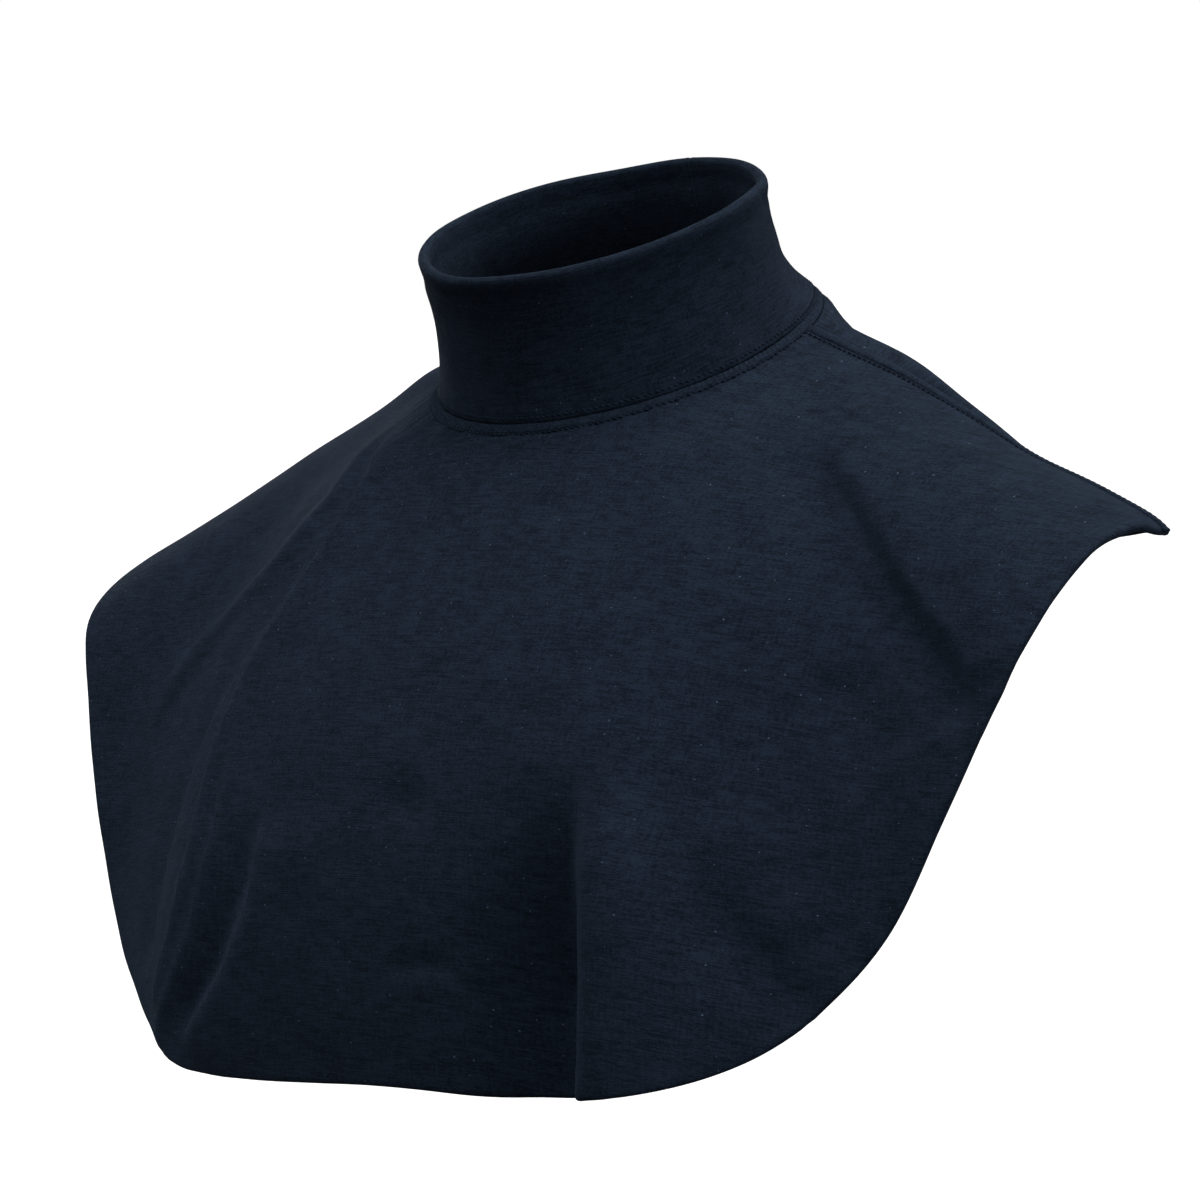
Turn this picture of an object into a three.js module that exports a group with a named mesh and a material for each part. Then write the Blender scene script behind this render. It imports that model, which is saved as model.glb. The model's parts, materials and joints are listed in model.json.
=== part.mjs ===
import * as THREE from "three";

// A turtleneck dickey: a folded knit collar on a bib-shaped front panel and a shorter back panel, as it
// lies on the shoulders. Millimetres, +Z up. The origin is the middle of the neck opening, the front
// faces -Y and +X is the wearer's left.

// Neck opening and collar
const NECK_HALF_WIDTH = 72;
const NECK_HALF_DEPTH = 71;
const NECK_TILT = 21;
const RIM_HALF_WIDTH = 68;
const RIM_HALF_DEPTH = 67;
const COLLAR_HEIGHT = 50;
const COLLAR_PLY = 1.6;
const PLY_GAP = 0.4;

// Reach and drop of the panels, measured from the middle of the neck opening
const HALF_WIDTH = 231;
const FRONT_REACH = 167;
const FRONT_DROP = 251;
const BACK_REACH = 112;
const BACK_DROP = 118;
const SHOULDER_DROP = 70;
const SHOULDER_BACKSET = 18;

// Cloth
const PANEL_WALL = 1.8;
const HEM_WIDTH = 8;
const HEM_PLY = 1.2;
const SEAM_WIDTH = 4.6;
const SEAM_HEIGHT = 1.4;
const NECK_SEAM_OFFSET = 3.4;
const SHOULDER_SEAM_OFFSET = 2.6;
const CLEARANCE = 0.3;
const FOLD_WIDTH = 20;
const FOLD_HEIGHT = 4;

// How finely the cloth is sampled
const NECK_STEPS = 64;
const FRONT_STEPS = 56;
const BACK_STEPS = 32;
const FRONT_ROWS = 20;
const BACK_ROWS = 12;
const SHOULDER_SEAM_STEPS = 16;
const ARC_STEPS = 4;
const SEAM_SIDES = 8;
const PROBE = 0.002;

// The share of a panel, next to the neck and to the shoulder seams, over which folds fade in
const FOLD_MARGIN = 0.12;

// The collar's outside, as shares of its height and of the way from the neck's size to the rim's size.
const COLLAR_SECTIONS = [
  { up: 0, narrowing: 0 },
  { up: 0.12, narrowing: 0.5 },
  { up: 0.35, narrowing: 1.15 },
  { up: 0.7, narrowing: 1.6 },
  { up: 1, narrowing: 1.1 },
];

// Sections of the front panel, from the centre front to the shoulder seam. Each runs straight out in plan
// from an angle round the neck to the cut edge. "across" is a share of HALF_WIDTH. "out" and "down" are
// shares of the way from the shoulder's end to the panel's full reach and drop. "leave" and "land" are
// slopes below the horizontal in degrees, and "near" and "far" say how long each slope holds.
const FRONT_SECTIONS = [
  { angle: 0, across: 0, out: 1, down: 1, leave: 47, land: 92, near: 0.33, far: 0.45 },
  { angle: 20, across: 0.253, out: 0.985, down: 1, leave: 46, land: 91, near: 0.33, far: 0.45 },
  { angle: 35, across: 0.454, out: 0.93, down: 0.98, leave: 43, land: 88, near: 0.33, far: 0.45 },
  { angle: 45, across: 0.585, out: 0.82, down: 0.94, leave: 34, land: 84, near: 0.34, far: 0.42 },
  { angle: 54, across: 0.699, out: 0.725, down: 0.86, leave: 31, land: 80, near: 0.34, far: 0.42 },
  { angle: 63, across: 0.79, out: 0.652, down: 0.73, leave: 31, land: 76, near: 0.33, far: 0.42 },
  { angle: 72, across: 0.865, out: 0.596, down: 0.53, leave: 32, land: 68, near: 0.3, far: 0.4 },
  { angle: 80, across: 0.926, out: 0.534, down: 0.325, leave: 32, land: 58, near: 0.3, far: 0.34 },
  { angle: 87, across: 0.965, out: 0.449, down: 0.145, leave: 30, land: 42, near: 0.3, far: 0.3 },
  { angle: 94, across: 0.991, out: 0.298, down: 0.035, leave: 27, land: 34, near: 0.3, far: 0.25 },
  { angle: 101, across: 1, out: 0.129, down: 0.005, leave: 25, land: 33, near: 0.3, far: 0.22 },
  { angle: 107, across: 0.97, out: 0, down: 0, leave: 24, land: 32, near: 0.3, far: 0.22 },
];

// Sections of the back panel, from the centre back to the shoulder seam, with the same columns. The
// last row is the front's last row, so both panels end on one seam line.
const BACK_SECTIONS = [
  { angle: 180, across: 0, out: 1, down: 1, leave: 34, land: 82, near: 0.33, far: 0.36 },
  { angle: 160, across: 0.24, out: 0.95, down: 0.92, leave: 33, land: 78, near: 0.33, far: 0.36 },
  { angle: 140, across: 0.48, out: 0.74, down: 0.56, leave: 30, land: 62, near: 0.33, far: 0.32 },
  { angle: 124, across: 0.72, out: 0.42, down: 0.14, leave: 25, land: 44, near: 0.31, far: 0.27 },
  { angle: 114, across: 0.875, out: 0.19, down: 0.01, leave: 24, land: 36, near: 0.3, far: 0.24 },
  FRONT_SECTIONS[FRONT_SECTIONS.length - 1],
];

// Folds and dents of the front, each a straight soft ridge between two places. "side" runs from -1 at the
// right shoulder seam to 1 at the left one, "drop" from 0 at the neck to 1 at the cut edge. Widths and
// heights are shares of FOLD_WIDTH and FOLD_HEIGHT, and a dent has a height below 0.
const FRONT_FOLDS = [
  { name: "right chest ridge", side: -0.24, drop: 0.25, toSide: -0.19, toDrop: 0.98, width: 0.8, height: 0.8 },
  { name: "right outer ridge", side: -0.4, drop: 0.25, toSide: -0.46, toDrop: 0.85, width: 0.8, height: 0.6 },
  { name: "right side dent", side: -0.31, drop: 0.4, toSide: -0.29, toDrop: 1, width: 0.8, height: -0.8 },
  { name: "right hem crease", side: -0.1, drop: 0.7, toSide: -0.15, toDrop: 1, width: 0.4, height: 0.6 },
  { name: "centre dent", side: 0.12, drop: 0.66, toSide: 0.135, toDrop: 1, width: 0.8, height: -0.9 },
  { name: "centre fold", side: 0.18, drop: 0.66, toSide: 0.185, toDrop: 1, width: 0.8, height: 0.7 },
  { name: "left lower dent", side: 0.27, drop: 0.66, toSide: 0.4, toDrop: 0.95, width: 0.9, height: -0.5 },
  { name: "left chest dent", side: 0.615, drop: 0.3, toSide: 0.61, toDrop: 0.92, width: 0.9, height: -0.9 },
  { name: "left shoulder ridge", side: 0.8, drop: 0.5, toSide: 0.89, toDrop: 0.7, width: 0.6, height: 0.5 },
];

const radians = THREE.MathUtils.degToRad;
const mix = THREE.MathUtils.lerp;

// A smooth curve through the numbers, at a place counted in rows.
function smoothNumber(values, at) {
  const last = values.length - 1;
  const row = Math.min(Math.floor(at), last - 1);
  const before = values[Math.max(row - 1, 0)];
  const after = values[Math.min(row + 2, last)];
  const share = at - row;
  const rise = (values[row + 1] - before) / 2;
  const nextRise = (after - values[row]) / 2;
  const step = values[row + 1] - values[row];
  return values[row] + share * rise + share * share * (3 * step - 2 * rise - nextRise)
    + share * share * share * (rise + nextRise - 2 * step);
}

// The section at a share of the way from the table's first row to its last. A row mirrored over the
// centre line goes in front, so that the two halves of a panel meet without a crease.
function sectionAt(table, share) {
  const mirrored = { ...table[1], angle: 2 * table[0].angle - table[1].angle, across: -table[1].across };
  const rows = [mirrored, ...table];
  const section = {};
  for (const column of Object.keys(table[0])) {
    section[column] = smoothNumber(rows.map((row) => row[column]), 1 + share * (table.length - 1));
  }
  return section;
}

// A point on the tilted neck ring's plane, from its half sizes and its height along the collar.
function ringPoint(angle, halfWidth, halfDepth, height) {
  const forward = -halfDepth * Math.cos(angle);
  const point = new THREE.Vector3(halfWidth * Math.sin(angle), forward, height);
  return point.applyAxisAngle(new THREE.Vector3(1, 0, 0), radians(NECK_TILT));
}

// The ends and slopes of one section, on the wearer's left.
function sectionCurve(panel, share) {
  const section = sectionAt(panel.sections, share);
  const start = ringPoint(radians(section.angle), NECK_HALF_WIDTH, NECK_HALF_DEPTH, 0);
  const end = new THREE.Vector3(
    section.across * HALF_WIDTH,
    mix(SHOULDER_BACKSET, panel.reach, section.out),
    -mix(SHOULDER_DROP, panel.drop, section.down),
  );
  const plan = new THREE.Vector3(end.x - start.x, end.y - start.y, 0).normalize();
  const slope = (angle) => plan.clone().multiplyScalar(Math.cos(radians(angle))).setZ(-Math.sin(radians(angle)));
  const chord = start.distanceTo(end);
  const afterStart = start.clone().addScaledVector(slope(section.leave), chord * section.near);
  const beforeEnd = end.clone().addScaledVector(slope(section.land), -chord * section.far);
  return new THREE.CubicBezierCurve3(start, afterStart, beforeEnd, end);
}

// The panel's outside without folds: "side" runs from -1 to 1 between the shoulder seams.
function drapePoint(panel, side, drop) {
  const point = sectionCurve(panel, Math.abs(side)).getPoint(drop);
  return side < 0 ? point.setX(-point.x) : point;
}

// How far the folds lift a point of the panel.
function foldLift(panel, point) {
  let lift = 0;
  for (const fold of panel.foldLines) {
    const nearest = fold.line.closestPointToPoint(point, true, new THREE.Vector3());
    const away = nearest.distanceTo(point) / (fold.width * FOLD_WIDTH);
    lift += fold.height * FOLD_HEIGHT * Math.exp(-away * away);
  }
  return lift;
}

// The outward normal of a surface given as a function of two shares. On a shoulder seam it points straight
// up across the seam, so that the two panels face each other squarely.
function surfaceNormal(panel, surface, side, drop) {
  const along = surface(side, Math.min(drop + PROBE, 1)).sub(surface(side, Math.max(drop - PROBE, 0)));
  if (Math.abs(side) === 1) {
    const upward = along.cross(new THREE.Vector3(0, 1, 0));
    return upward.multiplyScalar(Math.sign(upward.z)).normalize();
  }
  const crossing = surface(Math.min(side + PROBE, 1), drop).sub(surface(Math.max(side - PROBE, -1), drop));
  return crossing.cross(along).multiplyScalar(panel.outward).normalize();
}

// The panel's outside with its folds, and with half the clearance taken off at the shoulder seams.
function clothPoint(panel, side, drop) {
  const plain = (a, b) => drapePoint(panel, a, b);
  const point = plain(side, drop);
  const normal = surfaceNormal(panel, plain, side, drop);
  const fade = Math.min(1, drop / FOLD_MARGIN) * Math.min(1, (1 - Math.abs(side)) / FOLD_MARGIN);
  point.addScaledVector(normal, foldLift(panel, point) * fade);
  const seamShare = Math.max(0, 1 - (1 - Math.abs(side)) * panel.steps / 2);
  point.y += panel.seamShift * seamShare * CLEARANCE / 2;
  return point;
}

// The cloth's point and outward normal, moved inward by a depth.
function layerPoint(panel, side, drop, depth) {
  const cloth = (a, b) => clothPoint(panel, a, b);
  const normal = surfaceNormal(panel, cloth, side, drop);
  return clothPoint(panel, side, drop).addScaledVector(normal, -depth);
}

// A closed body from loops of points with an even count. Open lofts are capped between the loop's halves.
function loftGeometry(loops, closed) {
  const size = loops[0].length;
  const positions = [];
  for (const point of loops.flat()) {
    positions.push(point.x, point.y, point.z);
  }
  const faces = [];
  const quad = (a, b, c, d) => faces.push(a, b, c, a, c, d);
  const spans = closed ? loops.length : loops.length - 1;
  for (let span = 0; span < spans; span += 1) {
    const here = span * size;
    const next = ((span + 1) % loops.length) * size;
    for (let side = 0; side < size; side += 1) {
      const other = (side + 1) % size;
      quad(here + side, here + other, next + other, next + side);
    }
  }
  if (!closed) {
    const end = (loops.length - 1) * size;
    for (let step = 0; step < size / 2 - 1; step += 1) {
      const far = size - 1 - step;
      quad(step, far, far - 1, step + 1);
      quad(end + step, end + step + 1, end + far - 1, end + far);
    }
  }
  const geometry = new THREE.BufferGeometry();
  geometry.setAttribute("position", new THREE.Float32BufferAttribute(positions, 3));
  geometry.setIndex(enclosedVolume(positions, faces) < 0 ? faces.reverse() : faces);
  geometry.computeVertexNormals();
  return geometry;
}

// Six times the volume that the faces enclose, below 0 where they point inward.
function enclosedVolume(positions, faces) {
  const corner = (index) => new THREE.Vector3().fromArray(positions, 3 * index);
  let volume = 0;
  for (let face = 0; face < faces.length; face += 3) {
    const first = corner(faces[face]);
    volume += first.dot(corner(faces[face + 1]).cross(corner(faces[face + 2])));
  }
  return volume;
}

// Evenly spaced shares from one value to another, both ends included.
function shares(count, from = 0, to = 1) {
  return Array.from({ length: count + 1 }, (_, index) => mix(from, to, index / count));
}

// The collar: one strip folded over at the rim, so its two plies hang side by side and are open below.
function collarGeometry() {
  const thickness = 2 * COLLAR_PLY + PLY_GAP;
  const foldBase = COLLAR_HEIGHT - thickness / 2;
  const wall = (inset, rows) => rows.map((row) => ({
    inset,
    narrowing: row.narrowing,
    height: mix(CLEARANCE, foldBase, row.up),
  }));
  const fold = (radius, from, to) => shares(ARC_STEPS, from, to).slice(1, -1).map((turn) => ({
    inset: thickness / 2 - radius * Math.cos(turn),
    narrowing: COLLAR_SECTIONS[COLLAR_SECTIONS.length - 1].narrowing,
    height: foldBase + radius * Math.sin(turn),
  }));
  const upward = COLLAR_SECTIONS;
  const downward = [...upward].reverse();
  const everyOther = (rows) => rows.filter((row, index) => index % 2 === 0);
  const profile = [
    ...wall(0, upward),
    ...fold(thickness / 2, 0, Math.PI),
    ...wall(thickness, downward),
    ...wall(COLLAR_PLY + PLY_GAP, everyOther(upward)),
    ...wall(COLLAR_PLY, everyOther(downward)),
  ];
  const loops = shares(NECK_STEPS, 0, 2 * Math.PI).slice(0, -1).map((angle) => profile.map((corner) => {
    const halfWidth = mix(NECK_HALF_WIDTH, RIM_HALF_WIDTH, corner.narrowing) - corner.inset;
    const halfDepth = mix(NECK_HALF_DEPTH, RIM_HALF_DEPTH, corner.narrowing) - corner.inset;
    return ringPoint(angle, halfWidth, halfDepth, corner.height);
  }));
  return loftGeometry(loops, true);
}

// The share of a section's drop where the hem allowance ends, measured back from the cut edge.
function hemStart(panel, side) {
  const edge = drapePoint(panel, side, 1);
  return 1 - (HEM_WIDTH * PROBE) / edge.distanceTo(drapePoint(panel, side, 1 - PROBE));
}

// A panel of cloth between the two shoulder seams. Its last row is as wide as the hem allowance.
function panelGeometry(panel) {
  const loops = shares(panel.steps, -1, 1).map((side) => {
    const drops = [...shares(panel.rows - 1, 0, hemStart(panel, side)), 1];
    return [
      ...drops.map((drop) => layerPoint(panel, side, drop, 0)),
      ...drops.reverse().map((drop) => layerPoint(panel, side, drop, PANEL_WALL)),
    ];
  });
  return loftGeometry(loops, false);
}

// The hem allowance, turned under along the panel's cut edge. Its loops start at the cut edge, so that its
// faces are split along the same diagonals as the cloth above it.
function hemGeometry(panel) {
  const top = PANEL_WALL + CLEARANCE;
  const loops = shares(panel.steps, -1, 1).map((side) => {
    const inner = hemStart(panel, side);
    return [
      layerPoint(panel, side, 1, top),
      layerPoint(panel, side, inner, top),
      layerPoint(panel, side, inner, top + HEM_PLY),
      layerPoint(panel, side, 1, top + HEM_PLY),
    ];
  });
  return loftGeometry(loops, false);
}

// One loop of a seam's flat oval section, lying on the cloth.
function seamLoop(point, normal, crossing) {
  const center = point.clone().addScaledVector(normal, CLEARANCE + SEAM_HEIGHT / 2);
  return shares(SEAM_SIDES, 0, 2 * Math.PI).slice(0, -1).map((turn) => center.clone()
    .addScaledVector(crossing, Math.cos(turn + Math.PI / SEAM_SIDES) * SEAM_WIDTH / 2)
    .addScaledVector(normal, Math.sin(turn + Math.PI / SEAM_SIDES) * SEAM_HEIGHT / 2));
}

// The share of a section's drop at a distance from the neck.
function dropAtDistance(panel, side, distance) {
  const start = drapePoint(panel, side, 0);
  return distance * PROBE / start.distanceTo(drapePoint(panel, side, PROBE));
}

// The raised seam round the neck, which lies on both panels just outside the collar.
function neckSeamGeometry(front, back) {
  const loops = shares(NECK_STEPS, 0, 2).slice(0, -1).map((turn) => {
    const onFront = turn <= 0.5 || turn >= 1.5;
    const panel = onFront ? front : back;
    const along = turn <= 1 ? turn : turn - 2;
    const side = onFront ? along * 2 : Math.sign(along) * 2 * (1 - Math.abs(along));
    const drop = dropAtDistance(panel, side, NECK_SEAM_OFFSET);
    const point = layerPoint(panel, side, drop, 0);
    const normal = layerPoint(panel, side, drop, -1).sub(point);
    const crossing = layerPoint(panel, side, drop + PROBE, 0).sub(point).normalize();
    return seamLoop(point, normal, crossing);
  });
  return loftGeometry(loops, true);
}

// The raised seam along one shoulder, from the neck seam to the cut edge, lying on the front panel.
function shoulderSeamGeometry(front, sign) {
  const start = dropAtDistance(front, sign, NECK_SEAM_OFFSET + SEAM_WIDTH / 2 + 2 * CLEARANCE);
  const loops = shares(SHOULDER_SEAM_STEPS, start, 1).map((drop) => {
    const seam = drapePoint(front, sign, drop);
    const inward = seam.distanceTo(drapePoint(front, sign * (1 - PROBE), drop)) / PROBE;
    const side = sign * (1 - SHOULDER_SEAM_OFFSET / inward);
    const point = layerPoint(front, side, drop, 0);
    const normal = layerPoint(front, side, drop, -1).sub(point);
    return seamLoop(point, normal, new THREE.Vector3(0, 1, 0));
  });
  return loftGeometry(loops, false);
}

// A panel's description: its table of sections, its folds, its reach and drop and how it is sampled.
// "outward" is the sign that turns its normals out, and "seamShift" the way off the shoulder seams.
function makePanel({ sections, folds, reach, drop, outward, steps, rows }) {
  const panel = { sections, reach, drop, outward, steps, rows, seamShift: outward };
  panel.foldLines = folds.map((fold) => ({
    ...fold,
    line: new THREE.Line3(
      drapePoint(panel, fold.side, fold.drop),
      drapePoint(panel, fold.toSide, fold.toDrop),
    ),
  }));
  return panel;
}

function knitMaterial(color, roughness) {
  return new THREE.MeshStandardMaterial({ color, roughness, metalness: 0 });
}

function namedMesh(name, geometry, material) {
  const mesh = new THREE.Mesh(geometry, material);
  mesh.name = name;
  return mesh;
}

const frontPanel = makePanel({
  sections: FRONT_SECTIONS,
  folds: FRONT_FOLDS,
  reach: -FRONT_REACH,
  drop: FRONT_DROP,
  outward: -1,
  steps: FRONT_STEPS,
  rows: FRONT_ROWS,
});
const backPanel = makePanel({
  sections: BACK_SECTIONS,
  folds: [],
  reach: BACK_REACH,
  drop: BACK_DROP,
  outward: 1,
  steps: BACK_STEPS,
  rows: BACK_ROWS,
});

const dickey = new THREE.Group();
dickey.add(
  namedMesh("collar_band", collarGeometry(), knitMaterial(0x17202d, 0.92)),
  namedMesh("front_panel", panelGeometry(frontPanel), knitMaterial(0x19222f, 0.94)),
  namedMesh("back_panel", panelGeometry(backPanel), knitMaterial(0x192230, 0.94)),
  namedMesh("neck_seam", neckSeamGeometry(frontPanel, backPanel), knitMaterial(0x1b2533, 0.9)),
  namedMesh("shoulder_seam_left", shoulderSeamGeometry(frontPanel, 1), knitMaterial(0x1b2534, 0.9)),
  namedMesh("shoulder_seam_right", shoulderSeamGeometry(frontPanel, -1), knitMaterial(0x1b2635, 0.9)),
  namedMesh("front_hem", hemGeometry(frontPanel), knitMaterial(0x18212e, 0.95)),
  namedMesh("back_hem", hemGeometry(backPanel), knitMaterial(0x18212f, 0.95)),
);

export default dickey;
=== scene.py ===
"""A turtleneck dickey in dark navy jersey, draped as it is worn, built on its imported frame.

Everything is in metres in the part's own frame: the origin is the middle of the neck opening, +Z is up,
the front faces -Y and +X is the wearer's left.
"""

import json
import logging
import math
from dataclasses import dataclass
from enum import Enum
from typing import Callable, Sequence

import bpy
import numpy as np
from mathutils import Matrix, Vector

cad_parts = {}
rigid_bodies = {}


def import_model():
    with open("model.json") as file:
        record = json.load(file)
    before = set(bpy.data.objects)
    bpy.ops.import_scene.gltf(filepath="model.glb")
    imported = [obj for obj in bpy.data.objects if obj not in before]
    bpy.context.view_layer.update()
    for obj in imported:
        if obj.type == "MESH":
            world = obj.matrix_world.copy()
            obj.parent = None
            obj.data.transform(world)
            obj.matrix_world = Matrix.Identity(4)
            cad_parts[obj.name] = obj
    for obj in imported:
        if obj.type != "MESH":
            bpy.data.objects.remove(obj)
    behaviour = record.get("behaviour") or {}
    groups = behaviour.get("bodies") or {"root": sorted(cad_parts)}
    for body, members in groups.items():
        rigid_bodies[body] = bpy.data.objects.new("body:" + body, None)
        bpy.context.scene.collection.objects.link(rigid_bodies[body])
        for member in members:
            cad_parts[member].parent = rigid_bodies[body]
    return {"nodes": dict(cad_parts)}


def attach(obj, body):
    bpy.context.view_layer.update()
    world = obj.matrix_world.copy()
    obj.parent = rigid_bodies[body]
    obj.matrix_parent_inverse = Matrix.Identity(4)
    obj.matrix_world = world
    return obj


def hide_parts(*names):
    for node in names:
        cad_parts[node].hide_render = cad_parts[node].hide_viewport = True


log = logging.getLogger("dickey")

MM = 0.001
ROOT = "root"

# Steps in side or drop over which a panel's slopes are measured
PROBE = 0.002


def smooth_step(values: np.ndarray) -> np.ndarray:
    """Smooth rise from 0 to 1 as the values go from 0 to 1."""
    share = np.clip(values, 0.0, 1.0)
    return share * share * (3.0 - 2.0 * share)


def smooth_through(knots: Sequence[float], values: Sequence[float], at: np.ndarray) -> np.ndarray:
    """Values on a smooth curve through some knots.

    Args:
        knots: Where the values are given, growing.
        values: The values there.
        at: Where values are wanted. Beyond the ends the end values hold.

    Returns:
        One value for each place.
    """
    knots, values = np.array(knots, float), np.array(values, float)
    slopes = np.gradient(values, knots)
    at = np.clip(at, knots[0], knots[-1])
    row = np.clip(np.searchsorted(knots, at, side="right") - 1, 0, len(knots) - 2)
    width = knots[row + 1] - knots[row]
    part = (at - knots[row]) / width
    start = (1 + 2 * part) * (1 - part) ** 2 * values[row] + part * (1 - part) ** 2 * width * slopes[row]
    return start + part**2 * (3 - 2 * part) * values[row + 1] + part**2 * (part - 1) * width * slopes[row + 1]


def bell(values: np.ndarray) -> np.ndarray:
    """Rounded bump of height 1 at 0."""
    return np.exp(-values * values)


def unit(vectors: np.ndarray) -> np.ndarray:
    """The vectors scaled to length 1."""
    return vectors / np.linalg.norm(vectors, axis=-1, keepdims=True)


@dataclass(frozen=True)
class Path:
    """A line on the cloth, with the directions that a seam or stitch needs at each of its places.

    Attributes:
        points: Places along the line.
        normals: Unit vectors straight out of the cloth.
        crossings: Unit vectors in the cloth, square to the line.
        closed: Whether the line runs round to its start.
    """

    points: np.ndarray
    normals: np.ndarray
    crossings: np.ndarray
    closed: bool

    def alongs(self) -> np.ndarray:
        """Unit vectors along the line."""
        if self.closed:
            return unit(np.roll(self.points, -1, axis=0) - np.roll(self.points, 1, axis=0))
        return unit(np.gradient(self.points, axis=0))

    def length(self) -> float:
        """How long the line is."""
        return float(self.stations()[-1])

    def stations(self) -> np.ndarray:
        """How far along the line each place is, and for a closed line its whole length at the end."""
        points = np.vstack([self.points, self.points[:1]]) if self.closed else self.points
        steps = np.linalg.norm(np.diff(points, axis=0), axis=1)
        return np.concatenate([[0.0], np.cumsum(steps)])

    def shifted(self, across: float, out: float = 0.0) -> "Path":
        """The line moved square to itself in the cloth, and out of the cloth."""
        points = self.points + self.crossings * across + self.normals * out
        return Path(points, self.normals, self.crossings, self.closed)

    def resampled(self, count: int) -> "Path":
        """The line with evenly spaced places.

        Args:
            count: How many places the new line has.

        Returns:
            The new line.
        """
        stations = self.stations()
        at = np.linspace(0.0, stations[-1], count, endpoint=not self.closed)

        def spread(values: np.ndarray) -> np.ndarray:
            """Values of the old places taken at the new ones."""
            rows = np.vstack([values, values[:1]]) if self.closed else values
            return np.stack([np.interp(at, stations, rows[:, axis]) for axis in range(3)], axis=-1)

        normals, crossings = unit(spread(self.normals)), unit(spread(self.crossings))
        return Path(spread(self.points), normals, crossings, self.closed)


class MeshMaker:
    """Makes mesh objects from numpy arrays, each with a chart that a knit can follow."""

    CHART = "cloth_chart"

    @classmethod
    def from_faces(
        cls, name: str, points: np.ndarray, faces: Sequence[Sequence[int]], charts: np.ndarray
    ) -> bpy.types.Object:
        """Makes a smooth object.

        Args:
            name: The object's name.
            points: Its corners' places.
            faces: Its faces, as lists of corner numbers.
            charts: A chart place for each corner of each face, in the faces' order.

        Returns:
            The object, linked to the scene.
        """
        mesh = bpy.data.meshes.new(name)
        mesh.from_pydata(points.tolist(), [], faces)
        chart = mesh.uv_layers.new(name=cls.CHART)
        chart.data.foreach_set("uv", np.ascontiguousarray(charts, dtype=np.float32).ravel())
        mesh.polygons.foreach_set("use_smooth", np.ones(len(mesh.polygons), dtype=bool))
        mesh.update()
        made = bpy.data.objects.new(name, mesh)
        bpy.context.scene.collection.objects.link(made)
        return made

    @classmethod
    def loft(cls, name: str, loops: np.ndarray, charts: np.ndarray, closed: bool) -> bpy.types.Object:
        """Joins a row of loops into one closed body.

        Args:
            name: The object's name.
            loops: Places as (loop, corner, axis). Every loop has the same even number of corners.
            charts: Chart places as (loop, corner, 2). A closed row has one loop more here, for its last span.
            closed: Whether the last loop joins the first. If not, the two end loops are filled.

        Returns:
            The object.
        """
        count, size = loops.shape[:2]
        spans = np.arange(count if closed else count - 1)
        corner = np.arange(size)
        other = (corner + 1) % size
        here = spans[:, None] * size
        beyond = ((spans[:, None] + 1) % count) * size
        corners = [here + corner, here + other, beyond + other, beyond + corner]
        quads = np.stack(corners, axis=-1).reshape(-1, 4)
        next_chart = spans + 1
        quad_charts = np.stack(
            [charts[spans], charts[spans][:, other], charts[next_chart][:, other], charts[next_chart]], axis=2
        ).reshape(-1, 4, 2)
        if not closed:
            step = np.arange(size // 2 - 1)
            last = (count - 1) * size
            start_cap = np.stack([step, size - 1 - step, size - 2 - step, step + 1], axis=-1)
            end_cap = np.stack([step, step + 1, size - 2 - step, size - 1 - step], axis=-1)
            cap_charts = np.stack([charts[0][start_cap], charts[-1][end_cap]])
            quads = np.vstack([quads, start_cap, last + end_cap])
            quad_charts = np.vstack([quad_charts, cap_charts.reshape(-1, 4, 2)])
        points = loops.reshape(-1, 3)
        first, second, third, fourth = (points[quads[:, turn]] for turn in range(4))
        volume = np.einsum("ij,ij->", first, np.cross(second, third) + np.cross(third, fourth))
        if volume < 0:
            quads = quads[:, ::-1]
            quad_charts = quad_charts[:, ::-1]
        return cls.from_faces(name, points, quads.tolist(), quad_charts)


class Crest(Enum):
    """How the top of a fold is shaped: the power of the distance in its falloff."""

    ROUND = 2.0
    CRISP = 1.35


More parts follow.
